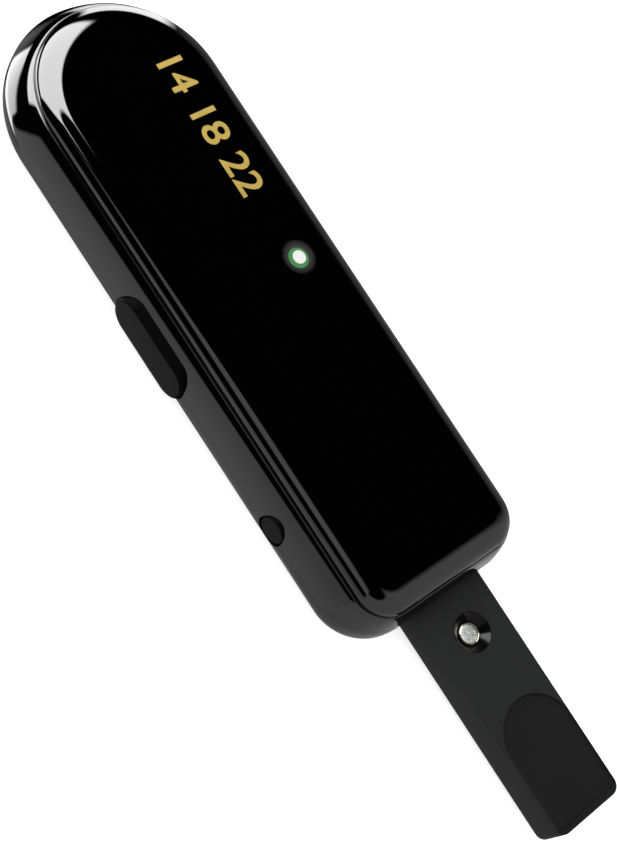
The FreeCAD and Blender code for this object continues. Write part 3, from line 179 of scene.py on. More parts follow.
# The contour of the shoulder from the widest line up to the seam: a bend, a nearly flat flank, the main bend
# and a small round at the rim, each as its face's lean in degrees at both ends and its radius.
SHOULDER_BENDS = ((90, 66, 2.1 * MM), (66, 57, 15.5 * MM), (57, 38, 3.9 * MM), (38, 0, 0.4 * MM))
BEND_STEPS = 12
BACK_STEPS = 20
shoulder_line = [(0.0, 0.0)]
for lean_from, lean_to, bend in SHOULDER_BENDS:
    for step in range(BEND_STEPS):
        lean = math.radians(lean_from + (lean_to - lean_from) * (step + 0.5) / BEND_STEPS)
        run = bend * math.radians(lean_from - lean_to) / BEND_STEPS
        along, up = shoulder_line[-1]
        shoulder_line.append((along + run * math.cos(lean), up + run * math.sin(lean)))
whole_in, whole_up = shoulder_line[-1]
back_rings = [(BACK_ROUND * (1 - risen), BACK_ROUND * (1 - risen), END_CORNER - BACK_ROUND * (1 - risen),
               BACK_ROUND * drawn) for drawn, risen in round_over(BACK_STEPS)]
shoulder_rings = [(SHOULDER_INSET * along / whole_in, END_INSET * along / whole_in,
                   END_CORNER + (SEAM_CORNER - END_CORNER) * along / whole_in,
                   SEAM_LEVEL - SHOULDER_DROP * (1 - up / whole_up)) for along, up in shoulder_line]

# The cavity's ring: how far its sides and its squared end lie in from the widest line, and its corners.
CAVITY = (3.9 * MM, 2.4 * MM, 3.9 * MM)
shell = case_solid("rear_shell_moulding",
                   back_rings + shoulder_rings + [(*CAVITY, SEAM_LEVEL), (*CAVITY, FLOOR_WALL)])

# A hair tells what lies on a face from the rest. The rounds of a bar's ends stop just short of half its
# width, because two that meet would fold over each other.
HAIR = 0.01 * MM
NEARLY_HALF = 0.499


def pill(name, low, high, round_x=0.0, steps=24):
    """A bar with full-round ends, lying along Y, from corner to corner. round_x rounds its low x edge."""
    mesh, size = box_mesh(low, high)
    across = [edge for edge in mesh.edges if abs(edge.verts[0].co.x - edge.verts[1].co.x) > size.x / 2]
    bevelled(mesh, across, NEARLY_HALF * min(size.y, size.z), steps)
    if round_x:
        face_edges = [edge for edge in mesh.edges
                      if max(corner.co.x for corner in edge.verts) < low[0] + HAIR]
        bevelled(mesh, face_edges, round_x, steps=8)
    return finished(name, mesh)


# The tools that cut openings reach past the faces that they cut.
PAST = 1 * MM

# The arm, the buttons and the door each have their gap in the case. A screw has a column, a bore through it
# and a sink for its head.
SLIDE_GAP = 0.15 * MM
BUTTON_GAP = 0.12 * MM
BUTTON_EAR = 0.8 * MM
DOOR_GAP = 0.12 * MM
COLUMN_WIDE = 4.6 * MM
COLUMN_TALL = 5.15 * MM
HEAD_SINK_WIDE = 3.6 * MM
HEAD_SINK_LONG = 2.7 * MM
SCREW_BORE_WIDE = 2.1 * MM
SCREW_BORE_LONG = 8 * MM
CASE_SCREWS = [(side * x * MM, y * MM) for x, y in ((9.75, -40.6), (5.45, 39.2)) for side in (-1, 1)]
arm_low, arm_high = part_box("arm_body")
long_low, long_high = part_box("long_button")
round_low, round_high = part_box("round_button")
door_low, door_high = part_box("battery_door")
INSIDE = HALF_WIDTH - CAVITY[0]
carve(shell, block("arm_slot", (arm_low.x - SLIDE_GAP, SQUARED_END - PAST, arm_low.z - SLIDE_GAP),
                   (arm_high.x + SLIDE_GAP, SQUARED_END + CAVITY[1] + PAST, arm_high.z + SLIDE_GAP)))
for low, high in ((long_low, long_high), (round_low, round_high)):
    carve(shell, pill("button_window",
                      (shell_low.x - PAST, low.y + BUTTON_EAR - BUTTON_GAP, low.z - BUTTON_GAP),
                      (PAST - INSIDE, high.y - BUTTON_EAR + BUTTON_GAP, high.z + BUTTON_GAP)))
carve(shell, block("door_opening", door_low - Vector((DOOR_GAP, DOOR_GAP, PAST)),
                   door_high + Vector((DOOR_GAP, DOOR_GAP, 0))))
for x, y in CASE_SCREWS:
    column = rod("screw_column", (x, y, FLOOR_WALL / 2), COLUMN_WIDE, COLUMN_TALL)
    carve(shell, column, operation="UNION")
    carve(shell, rod("screw_sink", (x, y, -PAST), HEAD_SINK_WIDE, HEAD_SINK_LONG),
          rod("screw_bore", (x, y, 0), SCREW_BORE_WIDE, SCREW_BORE_LONG))


def material(name, colour, roughness, metallic=0.0, level=0.5):
    """A node material of one plain finish, with the nodes that the sections then build on."""
    finish = bpy.data.materials.new(name)
    finish.use_nodes = True
    shader = finish.node_tree.nodes["Principled BSDF"]
    shader.inputs["Base Color"].default_value = (*colour, 1)
    shader.inputs["Roughness"].default_value = roughness
    shader.inputs["Metallic"].default_value = metallic
    shader.inputs["Specular IOR Level"].default_value = level
    return finish, finish.node_tree, shader


def add(tree, kind, **settings):
    """A new node with its settings and its plain input values."""
    node = tree.nodes.new(kind)
    for name, value in settings.items():
        if name in node.inputs:
            node.inputs[name].default_value = value
        else:
            setattr(node, name, value)
    return node


def wire(tree, *pairs):
    """Links each output socket to its input socket."""
    for source, target in pairs:
        tree.links.new(source, target)


def surface_effect(name, values, results):
    """An empty shader node group for an effect that several finishes share. It takes a Vector and the named
    values, and gives the named results."""
    tree = bpy.data.node_groups.new(name, "ShaderNodeTree")
    tree.interface.new_socket("Vector", in_out="INPUT", socket_type="NodeSocketVector")
    for label, value in values.items():
        socket = tree.interface.new_socket(label, in_out="INPUT", socket_type="NodeSocketFloat")
        socket.default_value = value
    for label in results:
        tree.interface.new_socket(label, in_out="OUTPUT", socket_type="NodeSocketFloat")
    return tree, tree.nodes.new("NodeGroupInput"), tree.nodes.new("NodeGroupOutput")


def two_tones(tree, first, second):
    """A colour ramp between two stops, each a position and a colour."""
    tones = tree.nodes.new("ShaderNodeValToRGB")
    for stop, (position, colour) in zip(tones.color_ramp.elements, (first, second)):
        stop.position = position
        stop.color = (*colour, 1)
    return tones


def uneven(tree, shader, low, high, scale):
    """Lets the roughness wander between two values."""
    place = add(tree, "ShaderNodeTexCoord")
    cloud = add(tree, "ShaderNodeTexNoise", Scale=scale, Detail=4.0)
    spread = add(tree, "ShaderNodeMapRange", **{"To Min": low, "To Max": high})
    wire(tree,
         (place.outputs["Object"], cloud.inputs["Vector"]),
         (cloud.outputs["Fac"], spread.inputs["Value"]),
         (spread.outputs["Result"], shader.inputs["Roughness"]))


# Handling: the faint swirl marks and skin haze on polished plastic, as a roughness and a height.
handling, given, made = surface_effect("handling", {"Base": 0.04, "Haze": 0.03}, ("Roughness", "Height"))
haze = add(handling, "ShaderNodeTexNoise", Scale=90.0, Detail=5.0, Roughness=0.6)
haze_range = add(handling, "ShaderNodeMapRange", interpolation_type="SMOOTHSTEP",
                 **{"From Min": 0.45, "From Max": 0.8})
swirl = add(handling, "ShaderNodeTexNoise", Scale=700.0, Detail=2.0, Distortion=2.5)
weight = add(handling, "ShaderNodeMath", operation="MULTIPLY")
total = add(handling, "ShaderNodeMath", operation="ADD")
wire(handling,
     (given.outputs["Vector"], haze.inputs["Vector"]),
     (given.outputs["Vector"], swirl.inputs["Vector"]),
     (haze.outputs["Fac"], haze_range.inputs["Value"]),
     (haze_range.outputs["Result"], weight.inputs[0]),
     (given.outputs["Haze"], weight.inputs[1]),
     (weight.outputs[0], total.inputs[0]),
     (given.outputs["Base"], total.inputs[1]),
     (total.outputs[0], made.inputs["Roughness"]),
     (swirl.outputs["Fac"], made.inputs["Height"]))


def gloss(name, colour, base, haze_amount):
    """Polished black plastic with faint handling marks."""
    finish, tree, shader = material(name, colour, base)
    marks = add(tree, "ShaderNodeGroup", node_tree=handling)
    marks.inputs["Base"].default_value = base
    marks.inputs["Haze"].default_value = haze_amount
    place = add(tree, "ShaderNodeTexCoord")
    ripple = add(tree, "ShaderNodeBump", Strength=0.02, Distance=0.00002)
    wire(tree,
         (place.outputs["Object"], marks.inputs["Vector"]),
         (marks.outputs["Roughness"], shader.inputs["Roughness"]),
         (marks.outputs["Height"], ripple.inputs["Height"]),
         (ripple.outputs["Normal"], shader.inputs["Normal"]))
    return finish, tree, shader


shell_gloss, _, _ = gloss("shell_gloss", (0.0008, 0.0008, 0.0009), base=0.02, haze_amount=0.02)
shell.data.materials.append(shell_gloss)
polished(shell)
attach(shell, "case")
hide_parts("rear_shell")

# ---------------------------------------------------------------- front panel
# The glossy lid that carries the light and the numbers. It stands up from the seam, rolls over all round
# into a flat face, and has a lip below that drops into the shell.
_, panel_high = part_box("front_panel")
SEAM_GAP = 0.12 * MM
PANEL_LAND = 0.38 * MM
PANEL_PLATE = 1.4 * MM
PANEL_SKIRT = 2.4 * MM
LIP_DROP = 0.6 * MM
LIP_GAP = 0.15 * MM
FACE_LEVEL = panel_high.z
ROLL_HIGH = FACE_LEVEL - SEAM_LEVEL - PANEL_LAND
ROLL_WIDE = 3.3 * MM
ROLL_STEPS = 36
FLAT_MARGIN = 0.04 * MM
LIP = (CAVITY[0] + LIP_GAP, CAVITY[1] + LIP_GAP, CAVITY[2] - LIP_GAP)


def drawn_in(amount, level, held_back=0):
    """A ring of the panel's outline, drawn in by an amount."""
    return (SHOULDER_INSET + amount, END_INSET + amount, SEAM_CORNER - amount, level, held_back)


# The roll is steep at the seam and runs out gently into the flat face, most gently at the round end.
ROUND_SLOPE = 1.4 * MM
roll_rings = [drawn_in(SEAM_GAP + ROLL_WIDE * drawn, SEAM_LEVEL + PANEL_LAND + ROLL_HIGH * risen,
                       ROUND_SLOPE * drawn) for drawn, risen in round_over(ROLL_STEPS)]
panel = case_solid("front_panel_moulding", [
    drawn_in(PANEL_SKIRT, FACE_LEVEL - PANEL_PLATE),
    drawn_in(PANEL_SKIRT, SEAM_LEVEL - LIP_DROP),
    (*LIP, SEAM_LEVEL - LIP_DROP),
    (*LIP, SEAM_LEVEL),
    drawn_in(SEAM_GAP, SEAM_LEVEL),
    *roll_rings,
    drawn_in(SEAM_GAP + ROLL_WIDE + FLAT_MARGIN, FACE_LEVEL, ROUND_SLOPE),
])
light_low, light_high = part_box("light_pipe")
LIGHT_CENTRE = (light_low + light_high) / 2
LIGHT_WIDE = 3.0 * MM
LIGHT_BORE_LONG = 5 * MM
FIT_GAP = 0.03 * MM
carve(panel, rod("light_bore", (LIGHT_CENTRE.x, LIGHT_CENTRE.y, SEAM_LEVEL), LIGHT_WIDE + 2 * FIT_GAP,
                 LIGHT_BORE_LONG))


def distance_from(tree, centre, weights=(1, 1, 1)):
    """The distance of the surface from a point, with each axis given its weight."""
    place = add(tree, "ShaderNodeTexCoord")
    offset = add(tree, "ShaderNodeVectorMath", operation="SUBTRACT")
    offset.inputs[1].default_value = centre
    weighed = add(tree, "ShaderNodeVectorMath", operation="MULTIPLY")
    weighed.inputs[1].default_value = weights
    reach = add(tree, "ShaderNodeVectorMath", operation="LENGTH")
    wire(tree,
         (place.outputs["Object"], offset.inputs[0]),
         (offset.outputs[0], weighed.inputs[0]),
         (weighed.outputs[0], reach.inputs[0]))
    return reach.outputs["Value"]


# Round the light the panel glows a little: a painted glow, an emission that stands in for the light leaking
# into the plastic and its polish.
GLOW_FROM = 1.7 * MM
GLOW_TO = 2.6 * MM
GLOW_ASIDE = (0.15 * MM, 0.1 * MM)
panel_gloss, tree, shader = gloss("panel_gloss", (0.0005, 0.0005, 0.0005), base=0.015, haze_amount=0.015)
glow_centre = (LIGHT_CENTRE.x + GLOW_ASIDE[0], LIGHT_CENTRE.y + GLOW_ASIDE[1], FACE_LEVEL)
fade = add(tree, "ShaderNodeMapRange", **{"From Min": GLOW_TO, "From Max": GLOW_FROM})
painted_glow = two_tones(tree, (0, (0, 0, 0)), (1, (0.046, 0.045, 0.046)))
wire(tree,
     (distance_from(tree, glow_centre), fade.inputs["Value"]),
     (fade.outputs["Result"], painted_glow.inputs["Fac"]),
     (painted_glow.outputs["Color"], shader.inputs["Emission Color"]))
shader.inputs["Emission Strength"].default_value = 1
panel.data.materials.append(panel_gloss)
polished(panel)
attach(panel, "case")
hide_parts("front_panel")

# ---------------------------------------------------------------- status light
# A clear light pipe with a domed top, pushed up through the panel from behind. The diode under it is white
# in the middle and throws its green to the rim.
TURNED_WELD = MM / 10000


def turned(name, centre, profile, steps=96):
    """A solid of revolution about Z through 'centre', from its closed or pole-to-pole profile of (radius,
    level) points."""
    mesh = bmesh.new()
    corners = [mesh.verts.new((radius, 0, level)) for radius, level in profile]
    lines = [mesh.edges.new(pair) for pair in zip(corners, corners[1:])]
    if profile[0][0] > 0:
        lines.append(mesh.edges.new((corners[-1], corners[0])))
    bmesh.ops.spin(mesh, geom=corners + lines, cent=(0, 0, 0), axis=(0, 0, 1), angle=2 * math.pi,
                   steps=steps, use_merge=True)
    bmesh.ops.remove_doubles(mesh, verts=mesh.verts, dist=TURNED_WELD)
    bmesh.ops.recalc_face_normals(mesh, faces=mesh.faces)
    bmesh.ops.translate(mesh, vec=(centre[0], centre[1], 0), verts=mesh.verts)
    return finished(name, mesh)


LIGHT_DOME = 0.45 * MM
DOME_STATIONS = (0, 0.03, 0.1, 0.2, 0.35, 0.5, 0.75)
LIGHT_RADIUS = LIGHT_WIDE / 2
FLANGE_RADIUS = (light_high.x - light_low.x) / 2
FLANGE_TOP = FACE_LEVEL - PANEL_PLATE
pipe = turned("status_light", LIGHT_CENTRE, [
    (0, light_low.z), (FLANGE_RADIUS, light_low.z), (FLANGE_RADIUS, FLANGE_TOP), (LIGHT_RADIUS, FLANGE_TOP),
    *[(LIGHT_RADIUS * (1 - share), light_high.z - LIGHT_DOME * (1 - share) ** 2)
      for share in DOME_STATIONS],
    (0, light_high.z),
])
light_white, tree, shader = material("light_white", (0.02, 0.025, 0.02), roughness=0.12, level=0.0)
share = add(tree, "ShaderNodeMath", operation="DIVIDE")
share.inputs[1].default_value = LIGHT_RADIUS
white_and_green = two_tones(tree, (0.63, (0.84, 0.86, 0.84)), (0.69, (0.058, 0.24, 0.069)))
wire(tree,
     (distance_from(tree, LIGHT_CENTRE, weights=(1, 1, 0)), share.inputs[0]),
     (share.outputs[0], white_and_green.inputs["Fac"]),
     (white_and_green.outputs["Color"], shader.inputs["Emission Color"]))
shader.inputs["Emission Strength"].default_value = 1
pipe.data.materials.append(light_white)
polished(pipe)
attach(pipe, "case")
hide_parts("light_pipe")

# ---------------------------------------------------------------- karat numbers
# Plain karat numbers in gold, pad-printed on the panel beside the light. They read from the round end.
NUMBERS_HIGH = 4.3 * MM
NUMBERS_CENTRE = Vector((6.6 * MM, 22.5 * MM, FACE_LEVEL))
NUMBERS_LONG = 22 * MM
PRINT_THICK = 0.02 * MM
STROKE_SPREAD = 0.012
PRINT_WELD = MM / 1000
words = bpy.data.curves.new("karat_numbers", "FONT")
words.body = "14 18 22"
words.extrude = PRINT_THICK
words.offset = STROKE_SPREAD
words.align_x = "CENTER"
words.align_y = "CENTER"
drawn_words = bpy.data.objects.new("karat_numbers_curve", words)
bpy.context.scene.collection.objects.link(drawn_words)
bpy.context.view_layer.update()
evaluated = drawn_words.evaluated_get(bpy.context.evaluated_depsgraph_get())
numbers_mesh = bpy.data.meshes.new_from_object(evaluated)
bpy.data.objects.remove(drawn_words)
numbers = bpy.data.objects.new("karat_numbers", numbers_mesh)
bpy.context.scene.collection.objects.link(numbers)
spans = [[corner.co[axis] for corner in numbers_mesh.vertices] for axis in range(3)]
middle = Vector([(min(span) + max(span)) / 2 for span in spans])
size = Vector([max(span) - min(span) for span in spans])
fitted = (NUMBERS_LONG / size.x, NUMBERS_HIGH / size.y, PRINT_THICK / size.z)
numbers_mesh.transform(Matrix.Translation(-middle))
numbers_mesh.transform(Matrix.Diagonal((*fitted, 1)))
numbers_mesh.transform(Matrix.Translation(NUMBERS_CENTRE) @ Matrix.Rotation(-math.pi / 2, 4, "Z"))
closed = bmesh.new()
closed.from_mesh(numbers_mesh)
bmesh.ops.remove_doubles(closed, verts=closed.verts, dist=PRINT_WELD)
bmesh.ops.holes_fill(closed, edges=[edge for edge in closed.edges if edge.is_boundary])
bmesh.ops.recalc_face_normals(closed, faces=closed.faces)
closed.to_mesh(numbers_mesh)
closed.free()
numbers_gold, tree, shader = material("numbers_gold", (0.468, 0.328, 0.065), roughness=0.38, metallic=0.15)
uneven(tree, shader, low=0.3, high=0.46, scale=1200.0)
numbers.data.materials.clear()
numbers.data.materials.append(numbers_gold)
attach(numbers, "case")

# ---------------------------------------------------------------- side buttons
# Two satin caps in the case's side: a long one for the thumb and a small round one below it. Each fills its
# window with a hair of room and is held in by ears behind the wall.

# Grain: the fine spark-eroded texture of the matt mouldings, as a colour share and a height.
grain, given, made = surface_effect("grain", {"Size": 9000.0}, ("Shade", "Height"))
pits = add(grain, "ShaderNodeTexVoronoi", feature="SMOOTH_F1")
cloud = add(grain, "ShaderNodeTexNoise", Scale=160.0, Detail=4.0)
fine = add(grain, "ShaderNodeTexNoise", Detail=3.0)
shade = add(grain, "ShaderNodeMapRange", **{"To Min": 0.85, "To Max": 1.15})
mixed = add(grain, "ShaderNodeMath", operation="ADD")
wire(grain,
     (given.outputs["Vector"], pits.inputs["Vector"]),
     (given.outputs["Size"], pits.inputs["Scale"]),
     (given.outputs["Vector"], fine.inputs["Vector"]),
     (given.outputs["Size"], fine.inputs["Scale"]),
     (given.outputs["Vector"], cloud.inputs["Vector"]),
     (cloud.outputs["Fac"], shade.inputs["Value"]),
     (shade.outputs["Result"], made.inputs["Shade"]),
     (pits.outputs["Distance"], mixed.inputs[0]),
     (fine.outputs["Fac"], mixed.inputs[1]),
     (mixed.outputs[0], made.inputs["Height"]))


def matt(name, colour, roughness, strength=0.25, level=0.5):
    """Textured black plastic: its grain lifts the light a little and varies its tone."""
    finish, tree, shader = material(name, colour, roughness, level=level)
    place = add(tree, "ShaderNodeTexCoord")
    texture = add(tree, "ShaderNodeGroup", node_tree=grain)
    tint = add(tree, "ShaderNodeVectorMath", operation="SCALE")
    tint.inputs[0].default_value = colour
    bump = add(tree, "ShaderNodeBump", Strength=strength, Distance=0.00003)
    wire(tree,
         (place.outputs["Object"], texture.inputs["Vector"]),
         (texture.outputs["Shade"], tint.inputs["Scale"]),
         (tint.outputs[0], shader.inputs["Base Color"]),
         (texture.outputs["Height"], bump.inputs["Height"]),
         (bump.outputs["Normal"], shader.inputs["Normal"]))
    return finish, tree, shader


BUTTON_ROUND = 0.5 * MM
FLANGE = 0.8 * MM
EAR_NARROW = 0.6 * MM
EAR_GAP = 0.05 * MM
CAP_BACK = EAR_GAP - INSIDE
POST_WIDE = 3.2 * MM
FACE_TURN = -0.97
button_matte, _, _ = matt("button_matte", (0.003, 0.003, 0.0032), roughness=0.5, level=0.05)
# The caps' side walls take a darker, duller copy of the matt finish: painted shade where the sides turn away
# from the light.
button_shaded_side, _, _ = matt("button_shaded_side", (0.0012, 0.0012, 0.0013), roughness=0.5, level=0.01)
for name, low, high, edge in (("long_button", long_low, long_high, BUTTON_ROUND),
                              ("round_button", round_low, round_high, BUTTON_ROUND / 2)):
    cap_foot = CAP_BACK + FLANGE / 2
    cap = pill(f"{name}_cap", (low.x, low.y + BUTTON_EAR, low.z), (cap_foot, high.y - BUTTON_EAR, high.z),
               round_x=edge)
    ears = pill("ears", (CAP_BACK, low.y, low.z + EAR_NARROW),
                (CAP_BACK + FLANGE, high.y, high.z - EAR_NARROW))
    post = rod("post", (cap_foot, (low.y + high.y) / 2, (low.z + high.z) / 2), POST_WIDE,
               high.x - CAP_BACK - FLANGE / 2, axis="X")
    carve(cap, ears, post, operation="UNION")
    cap.data.materials.clear()
    cap.data.materials.append(button_matte)
    cap.data.materials.append(button_shaded_side)
    # Faces that look out from the case take the matt finish; the rest take the copy with painted shade.
    for face in cap.data.polygons:
        face.material_index = 0 if face.normal.x < FACE_TURN and face.center.x < CAP_BACK - PAST else 1
    polished(cap, sharp=40)
    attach(cap, name)
    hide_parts(name)

# ---------------------------------------------------------------- test arm
# A flat hollow bar in textured black plastic that slides out of the squared end. Its front carries the test
# well near the case and a shallow thumb scoop at the tip; a cover closes it from behind.
TIP_CORNER = 1.6 * MM
ARM_EDGE = 0.18 * MM
COVER_GAP = 0.05 * MM
ARM_PLATE = 1.4 * MM
ARM_WALL = 1.2 * MM
cover_low, cover_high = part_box("arm_cover")
well_low, well_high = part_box("well_cup")
WELL_CENTRE = (well_low + well_high) / 2
WELL_MOUTH = 5.7 * MM
WELL_HOLE_LONG = 8 * MM
CREASE = 0.5


def rise(edge):
    """The difference in level between an edge's two ends."""
    return abs(edge.verts[0].co.z - edge.verts[1].co.z)


arm_mesh, arm_size = box_mesh(arm_low, arm_high)
tip_edges = [edge for edge in arm_mesh.edges
             if all(corner.co.y < arm_low.y + HAIR for corner in edge.verts)
             and rise(edge) > arm_size.z / 2]
bevelled(arm_mesh, tip_edges, TIP_CORNER, steps=12)
level_edges = [edge for edge in arm_mesh.edges if edge.calc_face_angle() > CREASE and rise(edge) < HAIR]
bevelled(arm_mesh, level_edges, ARM_EDGE, steps=4)
arm = finished("test_arm_bar", arm_mesh)
carve(arm, block("arm_rebate", (cover_low.x - COVER_GAP, cover_low.y - COVER_GAP, arm_low.z - PAST),
                 (cover_high.x + COVER_GAP, cover_high.y + COVER_GAP, cover_high.z)))
carve(arm, block("arm_hollow", (arm_low.x + ARM_WALL, arm_low.y + ARM_WALL, arm_low.z - PAST),
                 (arm_high.x - ARM_WALL, arm_high.y - ARM_WALL, arm_high.z - ARM_PLATE)))
carve(arm, rod("well_hole", (WELL_CENTRE.x, WELL_CENTRE.y, arm_low.z), WELL_MOUTH, WELL_HOLE_LONG,
               steps=96))

# The scoop is a half round that runs into straight sides, hollowed by a wide drum that lies along the arm.
SCOOP_EDGE = 0.3 * MM
SCOOP_TIP = 0.8 * MM
SCOOP_DEEP = 0.45 * MM
SCOOP_BOW = 60 * MM
SCOOP_START = SQUARED_END - 16.8 * MM
DRUM_LONG = 100 * MM
scoop_half = arm_high.x - SCOOP_EDGE
scoop = pill("thumb_scoop", (-PAST, -2 * (SCOOP_START - arm_low.y) + SCOOP_START, -scoop_half),
             (PAST, SCOOP_START, scoop_half), steps=48)
scoop.data.transform(Matrix.Translation((0, 0, arm_high.z)) @ Matrix.Rotation(math.pi / 2, 4, "Y"))
drum = rod("scoop_drum", (0, 0, -DRUM_LONG / 2), 2 * SCOOP_BOW, DRUM_LONG, steps=720)
drum.data.transform(Matrix.Translation((0, arm_low.y, arm_high.z - SCOOP_DEEP + SCOOP_BOW))
                    @ Matrix.Rotation(math.pi / 2, 4, "X"))
carve(scoop, drum, operation="INTERSECT")
carve(scoop, block("scoop_end", (arm_low.x - PAST, arm_low.y - DRUM_LONG, 0),
                   (arm_high.x + PAST, arm_low.y + SCOOP_TIP, arm_high.z + 2 * PAST)))
carve(arm, scoop)
arm_matte, _, _ = matt("arm_matte", (0.009, 0.0093, 0.0093), roughness=0.6, level=0.1)
scoop_satin, _, _ = matt("scoop_satin", (0.006, 0.006, 0.0063), roughness=0.5, strength=0.12, level=0.08)
arm.data.materials.clear()
arm.data.materials.append(arm_matte)
arm.data.materials.append(scoop_satin)
for face in arm.data.polygons:
    at_front = face.center.z > arm_high.z - 1.1 * SCOOP_DEEP
    hollowed = face.center.z < arm_high.z - HAIR and abs(face.center.x) < scoop_half + HAIR
    at_tip = face.center.y < arm_low.y + SCOOP_TIP + HAIR
    face.material_index = 1 if at_tip or (at_front and hollowed and face.center.y < SCOOP_START) else 0
polished(arm, sharp=40)
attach(arm, "test_arm")
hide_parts("arm_body")

# ---------------------------------------------------------------- test well
# A gloss black cup pressed into the arm from behind. Its cone leads down to a bright ring and a flat silver
# contact, on which the metal is laid with a drop of fluid.
WELL_FOOT_LEVEL = arm_high.z - 1.0 * MM
FLANGE_BORE_LONG = 10 * MM
WELL_LIP = 0.08 * MM
CONE_FOOT = 3.5 * MM
RING_WALL = 0.22 * MM
ring_low, ring_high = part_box("contact_ring")
contact_low, contact_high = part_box("test_contact")
contact_radius = (contact_high.x - contact_low.x) / 2
ring_radius = (ring_high.x - ring_low.x) / 2
bore = contact_radius + FIT_GAP
cup = turned("test_well", WELL_CENTRE, [
    (bore, well_low.z), (WELL_MOUTH / 2, well_low.z), (WELL_MOUTH / 2, arm_high.z - WELL_LIP / 2),
    (WELL_MOUTH / 2 - WELL_LIP / 2, arm_high.z), (WELL_MOUTH / 2 - WELL_LIP, arm_high.z),
    (CONE_FOOT / 2, WELL_FOOT_LEVEL), (ring_radius, WELL_FOOT_LEVEL), (ring_radius, ring_low.z),
    (bore, ring_low.z),
])
cup_flange = block("cup_flange", well_low, (well_high.x, well_high.y, arm_high.z - ARM_PLATE))
carve(cup_flange, rod("flange_bore", (WELL_CENTRE.x, WELL_CENTRE.y, 0), 2 * bore, FLANGE_BORE_LONG))
carve(cup, cup_flange, operation="UNION")
well_gloss, _, shader = gloss("well_gloss", (0.0025, 0.0025, 0.0025), base=0.12, haze_amount=0.05)
shader.inputs["Specular IOR Level"].default_value = 0.1
cup.data.materials.append(well_gloss)
polished(cup)
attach(cup, "test_arm")
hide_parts("well_cup")

ring = turned("bright_ring", WELL_CENTRE, [
    (bore, ring_low.z), (ring_radius, ring_low.z), (ring_radius, ring_high.z - RING_WALL / 2),
    (ring_radius - RING_WALL / 6, ring_high.z - RING_WALL / 6), (ring_radius - RING_WALL / 2, ring_high.z),
    (bore + RING_WALL / 6, ring_high.z - RING_WALL / 6), (bore, ring_high.z - RING_WALL / 2),
])
ring_chrome, tree, shader = material("ring_chrome", (0.2, 0.175, 0.14), roughness=0.16, metallic=1.0)
uneven(tree, shader, low=0.12, high=0.2, scale=2500.0)
ring.data.materials.append(ring_chrome)
polished(ring, sharp=50)
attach(ring, "test_arm")
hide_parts("contact_ring")

CONTACT_EDGE = 0.12 * MM
contact = turned("silver_contact", WELL_CENTRE, [
    (0, contact_low.z), (contact_radius, contact_low.z),
    *[(contact_radius - CONTACT_EDGE * drawn, contact_high.z - CONTACT_EDGE * (1 - risen))
      for drawn, risen in round_over(6)],
    (0, contact_high.z),
])
contact_silver, tree, shader = material("contact_silver", (0.7, 0.71, 0.7), roughness=0.4, metallic=0.85)
place = add(tree, "ShaderNodeTexCoord")
worn = add(tree, "ShaderNodeTexNoise", Scale=1800.0, Detail=6.0, Roughness=0.7)
tone = two_tones(tree, (0.35, (0.32, 0.34, 0.32)), (0.62, (0.78, 0.79, 0.78)))
scratch = add(tree, "ShaderNodeBump", Strength=0.3, Distance=0.00002)
wire(tree,
     (place.outputs["Object"], worn.inputs["Vector"]),
     (worn.outputs["Fac"], tone.inputs["Fac"]),
     (tone.outputs["Color"], shader.inputs["Base Color"]),
     (worn.outputs["Fac"], scratch.inputs["Height"]),
     (scratch.outputs["Normal"], shader.inputs["Normal"]))
contact.data.materials.append(contact_silver)
polished(contact)
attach(contact, "test_arm")
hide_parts("test_contact")

# ---------------------------------------------------------------- arm cover and its screws
# A textured plate let into the back of the arm, held by two countersunk steel screws.


def dress(finish, *names):
    """Gives carried-over solids their finish."""
    for name in names:
        for place in nodes[name].material_slots:
            place.material = finish


screw_steel, tree, shader = material("screw_steel", (0.42, 0.42, 0.43), roughness=0.3, metallic=1.0)
uneven(tree, shader, low=0.22, high=0.42, scale=2500.0)
dress(arm_matte, "arm_cover")
dress(screw_steel, "arm_cover_screws")

# ---------------------------------------------------------------- battery door and back screws
# A polished door over the coin cell, held by one screw, and four case screws sunk in the back.
door_gloss, _, _ = gloss("door_gloss", (0.0014, 0.0014, 0.0015), base=0.06, haze_amount=0.05)
dress(door_gloss, "battery_door")
dress(screw_steel, "door_screw", "case_screws")

# ---------------------------------------------------------------- circuit board
# A green glass-fibre board with its chips, its light-emitting diode and two side switches, on four posts.
board_green, tree, shader = material("board_green", (0.012, 0.09, 0.035), roughness=0.35)
place = add(tree, "ShaderNodeTexCoord")
tracks = add(tree, "ShaderNodeTexBrick", Color1=(0.01, 0.085, 0.03, 1), Color2=(0.014, 0.11, 0.042, 1),
             Mortar=(0.03, 0.16, 0.06, 1), Scale=220.0, **{"Mortar Size": 0.05})
relief = add(tree, "ShaderNodeBump", Strength=0.3, Distance=0.00003)
wire(tree,
     (place.outputs["Object"], tracks.inputs["Vector"]),
     (tracks.outputs["Color"], shader.inputs["Base Color"]),
     (tracks.outputs["Fac"], relief.inputs["Height"]),
     (relief.outputs["Normal"], shader.inputs["Normal"]))
chip_black, _, _ = matt("chip_black", (0.02, 0.02, 0.022), roughness=0.6)
guide_plastic, _, _ = matt("guide_plastic", (0.35, 0.35, 0.33), roughness=0.45, strength=0.1)
dress(board_green, "main_board")
dress(screw_steel, "board_screws")
dress(chip_black, "controller_chip", "amplifier_chip", "test_switch", "power_switch")
dress(light_white, "status_diode")
dress(button_matte, "test_switch_plunger", "power_switch_plunger")

